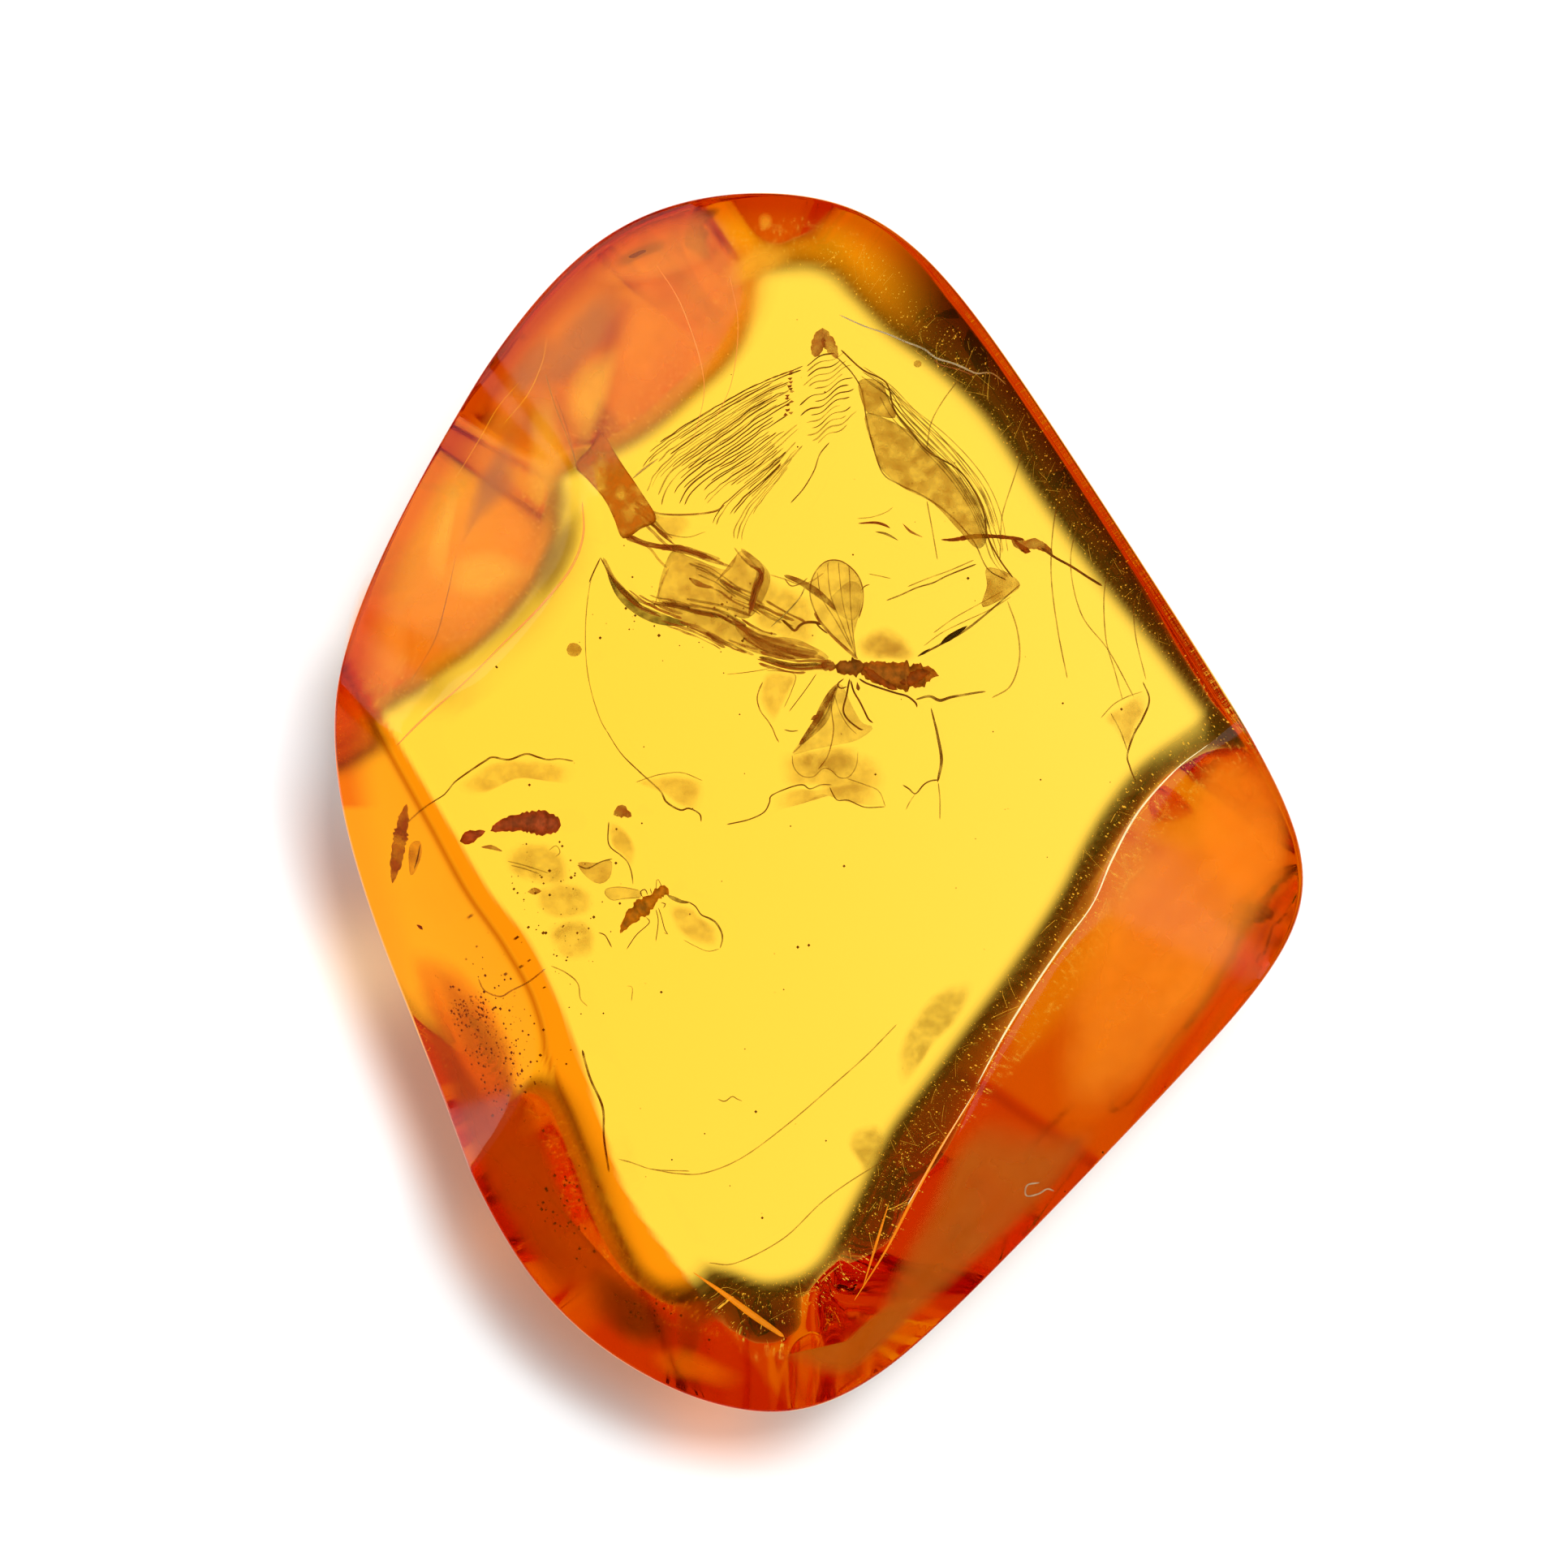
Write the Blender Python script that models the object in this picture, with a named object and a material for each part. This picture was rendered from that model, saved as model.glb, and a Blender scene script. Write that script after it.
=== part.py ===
"""A polished piece of amber, one solid stone, lying on its flat polished underside.

Lengths are in millimetres until the mesh is made, which is in metres. +Z is up, +Y runs along the stone and
the origin is on the table under the middle of its outline. The insects, cracks and bubbles sealed inside are
not solids of their own here: the stone formed round them as one piece.
"""

import math

import bmesh
import bpy
import numpy as np

METRES_PER_MM = 0.001

# Driving dimensions: millimetres, and degrees from the horizontal for slopes
FACE_HEIGHT = 9.6  # of the wide top face over the table, at the origin
FACE_FALL = 0.08  # mm that the top face drops per mm towards +X
FACE_DOME = 0.0015  # the top face falls by this times the distance from the origin squared

WALL_ROUNDING = 1.72  # radius that blends one side into the next, seen from above
WALLS = (  # azimuth of each side's outward direction in degrees, and its distance from the origin
    (33.1, 11.57),
    (92.6, 18.21),
    (142.4, 16.29),
    (158.3, 15.38),
    (-158.5, 14.01),
    (-158.5, 15.89),
    (-112.1, 17.72),
    (-44.5, 13.06),
)

# Each bevel is ground down from its ridge. A ridge is given by points (along, out): how far along the bevel,
# and how far out from the origin, with the bevel's own outward azimuth as the out direction
TOP_BEVELS = (  # outward azimuth, slope below the top face, rounding of the ridge, ridge points
    (-31.3, 13.0, 0.15, ((-13.1, 8.08), (-10.0, 8.22), (-8.3, 8.09), (-6.5, 8.13), (-4.5, 7.96),
                         (-1.2, 7.90), (1.6, 8.10), (3.3, 7.86), (4.6, 7.85), (6.2, 8.17), (7.8, 8.83))),
    (147.3, 14.0, 0.15, ((-4.4, 11.12), (-4.0, 10.66), (-3.0, 10.07), (-1.6, 9.67), (0.1, 9.70), (2.0, 10.12),
                         (3.2, 10.66), (4.0, 10.87), (5.0, 11.11), (5.4, 11.40), (5.9, 12.03))),
    (137.0, 8.4, 0.3, ((-11.2, 12.2), (-8.2, 11.0), (-6.0, 10.5), (-3.0, 10.6), (-1.0, 11.4),
                       (1.5, 12.5))),
    (-158.0, 13.0, 0.15, ((-6.2, 10.53), (-3.3, 10.04), (-1.1, 9.66), (0.3, 9.24), (1.9, 9.09), (4.2, 9.11),
                          (5.9, 9.23), (8.0, 9.35), (9.2, 9.16), (10.1, 8.92))),
    (-158.0, 40.0, 0.4, ((-5.7, 10.71), (-3.7, 10.46), (-1.4, 10.18), (0.4, 9.78), (2.2, 9.60), (3.6, 9.85),
                         (5.4, 11.2), (7.0, 13.2), (8.5, 15.5))),
    (-155.0, 17.0, 0.2, ((1.0, 10.2), (3.6, 9.6), (5.4, 9.65), (7.0, 9.95), (8.5, 10.0), (9.8, 9.6))),
    (-92.0, 20.0, 0.15, ((-4.0, 15.0), (-1.7, 15.4), (0.1, 15.45), (1.2, 15.2))),
    (92.0, 12.0, 0.3, ((-3.0, 15.9), (-1.2, 15.9), (0.3, 15.6), (1.9, 15.45), (3.1, 15.3), (4.2, 15.1))),
)
UNDERCUTS = (  # outward azimuth, slope up from the table, rounding of the edge, edge points
    (33.1, 34.5, 0.4, ((-3.9, 10.89), (-1.5, 10.71), (1.1, 10.42), (4.4, 10.22), (7.4, 10.12), (9.2, 9.69),
                       (10.6, 9.18), (12.3, 8.80), (13.7, 8.31), (14.7, 7.76))),
    (-31.3, 38.5, 0.4, ((-11.4, 6.87), (-9.4, 6.76), (-7.4, 6.60), (-5.3, 6.79), (-3.6, 6.95), (-1.6, 7.15),
                        (-0.5, 7.22), (1.6, 7.25), (2.8, 7.15), (4.3, 7.15), (5.7, 7.35), (7.6, 8.15))),
    (-158.0, 42.5, 0.6, ((-6.6, 12.6), (-4.3, 12.4), (-1.2, 12.2), (1.0, 11.8), (2.8, 10.9), (4.5, 9.9),
                         (7.0, 9.7), (8.7, 9.8), (10.4, 9.6))),
    (147.3, 36.5, 0.5, ((-4.4, 11.5), (-3.0, 10.45), (-1.6, 10.05), (0.1, 10.05), (2.0, 10.45), (4.0, 11.2),
                        (5.9, 12.4))),
    (137.0, 43.0, 0.5, ((-10.4, 12.36), (-8.5, 11.17), (-5.9, 11.02), (-3.5, 11.39), (-1.8, 12.09),
                        (1.7, 13.5))),
    (-92.0, 39.0, 0.4, ((-5.1, 13.09), (-3.7, 13.82), (-2.5, 14.02), (-1.3, 14.30), (-0.1, 13.89),
                        (0.7, 13.25))),
    (92.0, 42.0, 0.5, ((-3.0, 15.8), (0.5, 15.7), (4.2, 15.5))),
)
SKIRT_SLOPE = 63.0  # the undercut that runs all the way round, under the outline
SKIRT_WIDTH = 0.3
SKIRT_ROUNDING = 0.3
TOP_EDGE_ROUNDING = 0.07
BOTTOM_EDGE_ROUNDING = 0.2

HUB_HEIGHT = 4.0  # every surface point is found on a straight line from this point over the origin
FAN_HALF_SIZES = (16.0, 18.0, 4.5)  # of the ellipsoid whose points give the lines' directions
TURNS = 96  # rows of points round the stone
RINGS = 66  # of points from the middle of the top to the middle of the underside
PROBES = 300  # points along each row that find where it bends
BEND_SHARE = 0.8  # how far the rings crowd towards the bends: 0 spaces them evenly
BEND_REACH = 3  # probes on either side that a bend is spread over
SEARCH_LIMIT = 30.0  # farther from the hub than any point of the stone
SEARCH_STEPS = 42
GRIND_DEPTH = 0.05  # the underside is ground flat by this much


def soft_max(a, b, width):
    """The larger of two fields, blended over the given width so that the edge between them is round."""
    overlap = np.maximum(width - np.abs(a - b), 0.0) / width
    return np.maximum(a, b) + overlap * overlap * width / 4.0


def out_and_along(x, y, azimuth):
    """Distance out in the direction of the azimuth, and along the line square to it."""
    angle = math.radians(azimuth)
    return x * math.cos(angle) + y * math.sin(angle), y * math.cos(angle) - x * math.sin(angle)


def smooth_curve(points, at):
    """A cubic curve through the points, straight past both ends."""
    knots, values = np.array(points, float).T
    slopes = np.gradient(values, knots)
    i = np.clip(np.searchsorted(knots, at) - 1, 0, len(knots) - 2)
    span = knots[i + 1] - knots[i]
    raw = (at - knots[i]) / span
    t = np.clip(raw, 0.0, 1.0)
    start = (1 + 2 * t) * (1 - t) ** 2 * values[i] + t * (1 - t) ** 2 * span * slopes[i]
    end = t * t * (3 - 2 * t) * values[i + 1] + t * t * (t - 1) * span * slopes[i + 1]
    return start + end + (raw - t) * span * np.where(raw > t, slopes[i + 1], slopes[i])


def face_height(x, y):
    """Height of the wide top face, slightly tilted and slightly domed."""
    return FACE_HEIGHT - FACE_FALL * x - FACE_DOME * (x * x + y * y)


def outline_field(x, y):
    """Distance outside the stone's outline: all the sides, blended into one rounded shape."""
    sides = np.stack([out_and_along(x, y, azimuth)[0] - distance for azimuth, distance in WALLS])
    outermost = sides.max(axis=0)
    return outermost + WALL_ROUNDING * np.log(np.exp((sides - outermost) / WALL_ROUNDING).sum(axis=0))


def stone_field(x, y, z):
    """Below zero inside the stone and above zero outside it."""
    top = z - face_height(x, y)
    for azimuth, slope, rounding, ridge in TOP_BEVELS:
        out, along = out_and_along(x, y, azimuth)
        grade = math.tan(math.radians(slope))
        height = face_height(x, y) - grade * (out - smooth_curve(ridge, along))
        top = soft_max(top, (z - height) * math.cos(math.radians(slope)), rounding)
    outline = outline_field(x, y)
    skirt_height = math.tan(math.radians(SKIRT_SLOPE)) * (outline + SKIRT_WIDTH)
    bottom = -(z + GRIND_DEPTH)
    for azimuth, slope, rounding, edge in UNDERCUTS:
        out, along = out_and_along(x, y, azimuth)
        height = math.tan(math.radians(slope)) * (out - smooth_curve(edge, along))
        bottom = soft_max(bottom, (height - z) * math.cos(math.radians(slope)), rounding)
    bottom = soft_max(bottom, (skirt_height - z) * math.cos(math.radians(SKIRT_SLOPE)), SKIRT_ROUNDING)
    return soft_max(soft_max(top, outline, TOP_EDGE_ROUNDING), bottom, BOTTOM_EDGE_ROUNDING)


def fan_directions(polar, turn):
    """Unit directions from the hub: those of an ellipsoid's points at these polar angles and turns."""
    a, b, c = FAN_HALF_SIZES
    out = np.sin(polar)
    fan = np.stack([a * out * np.cos(turn), b * out * np.sin(turn), c * np.cos(polar)], axis=-1)
    return fan / np.linalg.norm(fan, axis=-1, keepdims=True)


def on_surface(directions):
    """The point where each line from the hub leaves the stone, found by halving the search over and over."""
    hub = np.array((0.0, 0.0, HUB_HEIGHT))
    near = np.zeros(directions.shape[:-1])
    far = np.full(directions.shape[:-1], SEARCH_LIMIT)
    for _ in range(SEARCH_STEPS):
        middle = (near + far) / 2.0
        point = hub + directions * middle[..., None]
        inside = stone_field(point[..., 0], point[..., 1], point[..., 2]) < 0.0
        near = np.where(inside, middle, near)
        far = np.where(inside, far, middle)
    return hub + directions * ((near + far) / 2.0)[..., None]


def stone_points():
    """A row of points from the top pole to the bottom one at each turn, closest together where it bends."""
    turn = np.linspace(0.0, 2.0 * math.pi, TURNS, endpoint=False)[:, None]
    polar = np.linspace(0.0, math.pi, PROBES)[None, :].repeat(TURNS, axis=0)
    probe = on_surface(fan_directions(polar, turn))
    step_out = np.diff(np.hypot(probe[..., 0], probe[..., 1]), axis=1)
    step_up = np.diff(probe[..., 2], axis=1)
    length = np.hypot(step_out, step_up)
    heading = np.unwrap(np.arctan2(step_up, step_out), axis=1)
    bend = np.abs(np.diff(heading, axis=1, prepend=heading[:, :1]))
    padded = np.pad(bend, ((0, 0), (BEND_REACH, BEND_REACH)), mode="edge")
    bend = sum(padded[:, k:k + bend.shape[1]] for k in range(2 * BEND_REACH + 1))
    weight = length / length.sum(axis=1, keepdims=True)
    weight = weight + BEND_SHARE * bend / bend.sum(axis=1, keepdims=True)
    along = np.concatenate([np.zeros((TURNS, 1)), np.cumsum(weight, axis=1)], axis=1)
    along /= along[:, -1:]
    places = np.linspace(0.0, 1.0, RINGS + 2)
    polar = np.stack([np.interp(places, row, angles) for row, angles in zip(along, polar)])
    polar = (np.roll(polar, 1, axis=0) + 2.0 * polar + np.roll(polar, -1, axis=0)) / 4.0
    return on_surface(fan_directions(polar, turn))


def amber_material():
    """Clear honey-coloured amber with a polished surface."""
    material = bpy.data.materials.new("amber")
    material.use_nodes = True
    shader = material.node_tree.nodes["Principled BSDF"]
    shader.inputs["Base Color"].default_value = (0.95, 0.55, 0.06, 1.0)
    shader.inputs["Roughness"].default_value = 0.04
    shader.inputs["Metallic"].default_value = 0.0
    shader.inputs["IOR"].default_value = 1.54
    shader.inputs["Transmission Weight"].default_value = 1.0
    return material


def amber_stone():
    """The whole stone: rings of points joined into a skin, then cut flat where it rests."""
    rows = stone_points() * METRES_PER_MM
    stone = bmesh.new()
    rings = [[stone.verts.new(point) for point in rows[:, ring]] for ring in range(1, RINGS + 1)]
    top = stone.verts.new(rows[:, 0].mean(axis=0))
    foot = stone.verts.new(rows[:, -1].mean(axis=0))
    for upper, lower in zip(rings, rings[1:]):
        for i in range(TURNS):
            j = (i + 1) % TURNS
            stone.faces.new((upper[i], lower[i], lower[j], upper[j]))
    for i in range(TURNS):
        j = (i + 1) % TURNS
        stone.faces.new((top, rings[0][i], rings[0][j]))
        stone.faces.new((foot, rings[-1][j], rings[-1][i]))
    cut = bmesh.ops.bisect_plane(
        stone, geom=stone.verts[:] + stone.edges[:] + stone.faces[:],
        plane_co=(0.0, 0.0, 0.0), plane_no=(0.0, 0.0, -1.0), clear_outer=True)
    rim = [item for item in cut["geom_cut"] if isinstance(item, bmesh.types.BMEdge)]
    bmesh.ops.contextual_create(stone, geom=rim)
    bmesh.ops.recalc_face_normals(stone, faces=stone.faces)
    mesh = bpy.data.meshes.new("amber_stone")
    stone.to_mesh(mesh)
    stone.free()
    mesh.materials.append(amber_material())
    mesh.shade_smooth()
    mesh.set_sharp_from_angle(angle=math.radians(30.0))
    piece = bpy.data.objects.new("amber_stone", mesh)
    bpy.context.scene.collection.objects.link(piece)
    return piece


for leftover in list(bpy.data.objects):
    bpy.data.objects.remove(leftover, do_unlink=True)
amber_stone()
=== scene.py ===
import math

import bpy
import numpy as np
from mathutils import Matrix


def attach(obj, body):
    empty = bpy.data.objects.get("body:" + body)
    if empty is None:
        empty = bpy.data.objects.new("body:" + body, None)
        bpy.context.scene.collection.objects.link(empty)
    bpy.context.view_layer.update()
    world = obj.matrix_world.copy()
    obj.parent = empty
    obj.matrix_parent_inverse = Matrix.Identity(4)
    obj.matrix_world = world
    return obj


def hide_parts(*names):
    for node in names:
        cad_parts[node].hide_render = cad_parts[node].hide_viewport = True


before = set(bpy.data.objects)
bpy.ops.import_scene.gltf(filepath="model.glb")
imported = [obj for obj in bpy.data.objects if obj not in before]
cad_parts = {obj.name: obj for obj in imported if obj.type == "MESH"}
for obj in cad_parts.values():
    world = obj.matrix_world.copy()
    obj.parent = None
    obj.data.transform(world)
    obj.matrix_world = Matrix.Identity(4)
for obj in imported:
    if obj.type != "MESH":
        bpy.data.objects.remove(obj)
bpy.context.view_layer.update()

metresPerMm = 0.001
root = bpy.context.scene.collection


# max(a, b) + (overlap / width)^2 * width / 4, which rounds the edge between two fields
def softMax(a, b, width):
    overlap = np.maximum(width - np.abs(a - b), 0.0) / width
    return np.maximum(a, b) + overlap * overlap * width / 4.0


def outAndAlong(x, y, azimuth):  # the plan point turned by the azimuth: (distance out, distance along)
    angle = math.radians(azimuth)
    return x * math.cos(angle) + y * math.sin(angle), y * math.cos(angle) - x * math.sin(angle)


def smoothCurve(points, at):  # a cubic Hermite curve through (along, out) points, straight past both ends
    knots, values = np.array(points, float).T
    slopes = np.gradient(values, knots)
    i = np.clip(np.searchsorted(knots, at) - 1, 0, len(knots) - 2)
    span = knots[i + 1] - knots[i]
    raw = (at - knots[i]) / span
    t = np.clip(raw, 0.0, 1.0)
    start = (1 + 2 * t) * (1 - t) ** 2 * values[i] + t * (1 - t) ** 2 * span * slopes[i]
    end = t * t * (3 - 2 * t) * values[i + 1] + t * t * (t - 1) * span * slopes[i + 1]
    return start + end + (raw - t) * span * np.where(raw > t, slopes[i + 1], slopes[i])


def smoothStep(value, low, high):  # 3t^2 - 2t^3 of the value's place between low and high
    t = np.clip((value - low) / (high - low), 0.0, 1.0)
    return t * t * (3.0 - 2.0 * t)


# Lengths in mm. A ridge or edge is a row of (along, out) points, out being the bevel's own azimuth
amberStone = {
    "faceHeight": 9.6, "faceFall": 0.08, "faceDome": 0.0015,
    "wallRounding": 1.72,
    "walls": ((33.1, 11.57), (92.6, 18.21), (142.4, 16.29), (158.3, 15.38),
              (-158.5, 14.01), (-158.5, 15.89), (-112.1, 17.72), (-44.5, 13.06)),
    "bevels": (
        (-31.3, 13.0, 0.15, ((-13.1, 8.08), (-10.0, 8.22), (-8.3, 8.09), (-6.5, 8.13), (-4.5, 7.96),
                             (-1.2, 7.90), (1.6, 8.10), (3.3, 7.86), (4.6, 7.85), (6.2, 8.17),
                             (7.8, 8.83))),
        (147.3, 14.0, 0.15, ((-4.4, 11.12), (-4.0, 10.66), (-3.0, 10.07), (-1.6, 9.67), (0.1, 9.70),
                             (2.0, 10.12), (3.2, 10.66), (4.0, 10.87), (5.0, 11.11), (5.4, 11.40),
                             (5.9, 12.03))),
        (137.0, 8.4, 0.3, ((-11.2, 12.2), (-8.2, 11.0), (-6.0, 10.5), (-3.0, 10.6), (-1.0, 11.4),
                           (1.5, 12.5))),
        (-158.0, 13.0, 0.15, ((-6.2, 10.53), (-3.3, 10.04), (-1.1, 9.66), (0.3, 9.24), (1.9, 9.09),
                              (4.2, 9.11), (5.9, 9.23), (8.0, 9.35), (9.2, 9.16), (10.1, 8.92))),
        (-158.0, 40.0, 0.4, ((-5.7, 10.71), (-3.7, 10.46), (-1.4, 10.18), (0.4, 9.78), (2.2, 9.60),
                             (3.6, 9.85), (5.4, 11.2), (7.0, 13.2), (8.5, 15.5))),
        (-155.0, 17.0, 0.2, ((1.0, 10.2), (3.6, 9.6), (5.4, 9.65), (7.0, 9.95), (8.5, 10.0), (9.8, 9.6))),
        (-92.0, 20.0, 0.15, ((-4.0, 15.0), (-1.7, 15.4), (0.1, 15.45), (1.2, 15.2))),
        (92.0, 12.0, 0.3, ((-3.0, 15.9), (-1.2, 15.9), (0.3, 15.6), (1.9, 15.45), (3.1, 15.3), (4.2, 15.1))),
    ),
    "undercuts": (
        (33.1, 34.5, 0.4, ((-3.9, 10.89), (-1.5, 10.71), (1.1, 10.42), (4.4, 10.22), (7.4, 10.12),
                           (9.2, 9.69), (10.6, 9.18), (12.3, 8.80), (13.7, 8.31), (14.7, 7.76))),
        (-31.3, 38.5, 0.4, ((-11.4, 6.87), (-9.4, 6.76), (-7.4, 6.60), (-5.3, 6.79), (-3.6, 6.95),
                            (-1.6, 7.15), (-0.5, 7.22), (1.6, 7.25), (2.8, 7.15), (4.3, 7.15), (5.7, 7.35),
                            (7.6, 8.15))),
        (-158.0, 42.5, 0.6, ((-6.6, 12.6), (-4.3, 12.4), (-1.2, 12.2), (1.0, 11.8), (2.8, 10.9), (4.5, 9.9),
                             (7.0, 9.7), (8.7, 9.8), (10.4, 9.6))),
        (147.3, 36.5, 0.5, ((-4.4, 11.5), (-3.0, 10.45), (-1.6, 10.05), (0.1, 10.05), (2.0, 10.45),
                            (4.0, 11.2), (5.9, 12.4))),
        (137.0, 43.0, 0.5, ((-10.4, 12.36), (-8.5, 11.17), (-5.9, 11.02), (-3.5, 11.39), (-1.8, 12.09),
                            (1.7, 13.5))),
        (-92.0, 39.0, 0.4, ((-5.1, 13.09), (-3.7, 13.82), (-2.5, 14.02), (-1.3, 14.30), (-0.1, 13.89),
                            (0.7, 13.25))),
        (92.0, 42.0, 0.5, ((-3.0, 15.8), (0.5, 15.7), (4.2, 15.5))),
    ),
    "skirtSlope": 63.0, "skirtWidth": 0.3, "skirtRounding": 0.3,
    "topEdge": 0.07, "bottomEdge": 0.2, "groundOff": 0.05,
    "hub": (0.0, 0.0, 4.0), "fan": (16.0, 18.0, 4.5),
    "around": 512, "rings": 188, "probe": 360, "turnWeight": 0.8, "searchLimit": 30.0,
    "probeSteps": 24, "surfaceSteps": 42, "slopeStep": 0.002,
}


def faceHeight(x, y):  # faceHeight - faceFall * x - faceDome * (x^2 + y^2)
    return amberStone["faceHeight"] - amberStone["faceFall"] * x - amberStone["faceDome"] * (x * x + y * y)


def outlineField(x, y):  # distance outside all the sides, rounded: k * ln(sum(exp(side / k)))
    sides = np.stack([outAndAlong(x, y, azimuth)[0] - distance for azimuth, distance in amberStone["walls"]])
    outermost, k = sides.max(axis=0), amberStone["wallRounding"]
    return outermost + k * np.log(np.exp((sides - outermost) / k).sum(axis=0))


def topHeight(x, y):  # the lowest of the face and the planes of the bevels
    height = faceHeight(x, y)
    for azimuth, slope, _, ridge in amberStone["bevels"]:
        out, along = outAndAlong(x, y, azimuth)
        ground = faceHeight(x, y) - math.tan(math.radians(slope)) * (out - smoothCurve(ridge, along))
        height = np.minimum(height, ground)
    return height


# height of the sloping underside over the table, in mm: softMax of the planes of the undercuts and the skirt
def undersideHeight(x, y):
    height = np.zeros_like(x)
    for azimuth, slope, rounding, edge in amberStone["undercuts"]:
        out, along = outAndAlong(x, y, azimuth)
        height = softMax(height, math.tan(math.radians(slope)) * (out - smoothCurve(edge, along)), rounding)
    skirt = math.tan(math.radians(amberStone["skirtSlope"])) * (outlineField(x, y) + amberStone["skirtWidth"])
    return softMax(height, skirt, amberStone["skirtRounding"])


# below zero inside the stone: softMax of its top face, bevels, undercuts, skirt and outline
def stoneField(x, y, z):
    face = faceHeight(x, y)
    top = z - face
    for azimuth, slope, rounding, ridge in amberStone["bevels"]:
        out, along = outAndAlong(x, y, azimuth)
        ground = face - math.tan(math.radians(slope)) * (out - smoothCurve(ridge, along))
        top = softMax(top, (z - ground) * math.cos(math.radians(slope)), rounding)
    outline = outlineField(x, y)
    bottom = -(z + amberStone["groundOff"])
    for azimuth, slope, rounding, edge in amberStone["undercuts"]:
        out, along = outAndAlong(x, y, azimuth)
        height = math.tan(math.radians(slope)) * (out - smoothCurve(edge, along))
        bottom = softMax(bottom, (height - z) * math.cos(math.radians(slope)), rounding)
    lean = math.radians(amberStone["skirtSlope"])
    skirt = (math.tan(lean) * (outline + amberStone["skirtWidth"]) - z) * math.cos(lean)
    bottom = softMax(bottom, skirt, amberStone["skirtRounding"])
    return softMax(softMax(top, outline, amberStone["topEdge"]), bottom, amberStone["bottomEdge"])


# halves the stretch from the hub to the search limit, step by step, round the place where the field is zero
def onSurface(directions, steps):
    hub = np.array(amberStone["hub"])
    near = np.zeros(directions.shape[:-1])
    far = np.full(directions.shape[:-1], amberStone["searchLimit"])
    for _ in range(steps):
        middle = (near + far) / 2.0
        point = hub + directions * middle[..., None]
        inside = stoneField(point[..., 0], point[..., 1], point[..., 2]) < 0.0
        near = np.where(inside, middle, near)
        far = np.where(inside, far, middle)
    return hub + directions * ((near + far) / 2.0)[..., None]


def fanDirections(polar, turn):  # unit directions of an ellipsoid's points at these polar angles and turns
    a, b, c = amberStone["fan"]
    fan = np.stack([a * np.sin(polar) * np.cos(turn), b * np.sin(polar) * np.sin(turn), c * np.cos(polar)],
                   axis=-1)
    return fan / np.linalg.norm(fan, axis=-1, keepdims=True)


# rings of points from the top pole to the bottom one, closest together where the surface turns
def stoneGrid():
    turn = np.linspace(0.0, 2.0 * math.pi, amberStone["around"], endpoint=False)[:, None]
    polar = np.linspace(0.0, math.pi, amberStone["probe"])[None, :].repeat(len(turn), axis=0)
    probe = onSurface(fanDirections(polar, turn), amberStone["probeSteps"])
    out, height = np.hypot(probe[..., 0], probe[..., 1]), probe[..., 2]
    stepOut, stepUp = np.diff(out, axis=1), np.diff(height, axis=1)
    length = np.hypot(stepOut, stepUp)
    heading = np.unwrap(np.arctan2(stepUp, stepOut), axis=1)
    bend = np.abs(np.diff(heading, axis=1, prepend=heading[:, :1]))
    padded = np.pad(bend, ((0, 0), (3, 3)), mode="edge")
    bend = sum(padded[:, k:k + bend.shape[1]] for k in range(7)) / 7.0
    weight = length / length.sum(axis=1, keepdims=True)
    weight += amberStone["turnWeight"] * bend / bend.sum(axis=1, keepdims=True)
    along = np.concatenate([np.zeros((len(turn), 1)), np.cumsum(weight, axis=1)], axis=1)
    along /= along[:, -1:]
    places = np.linspace(0.0, 1.0, amberStone["rings"] + 2)
    polar = np.stack([np.interp(places, row, angles) for row, angles in zip(along, polar)])
    for _ in range(3):
        polar = (np.roll(polar, 1, axis=0) + 2.0 * polar + np.roll(polar, -1, axis=0)) / 4.0
    return onSurface(fanDirections(polar, turn), amberStone["surfaceSteps"])


def makeMesh(name, points, faces, material, smooth=True):
    mesh = bpy.data.meshes.new(name)
    mesh.from_pydata(points * metresPerMm, [], faces)
    if smooth:
        mesh.shade_smooth()
    mesh.materials.append(material)
    mesh.update()
    piece = bpy.data.objects.new(name, mesh)
    root.objects.link(piece)
    return piece


# quads between rings of points, wound so that they face out from a top-down grid
def ringFaces(rings, around):
    row, column = np.meshgrid(np.arange(rings - 1), np.arange(around), indexing="ij")
    nextColumn = (column + 1) % around
    quads = np.stack([row * around + column, (row + 1) * around + column,
                      (row + 1) * around + nextColumn, row * around + nextColumn], axis=-1)
    return quads.reshape(-1, 4)


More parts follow.
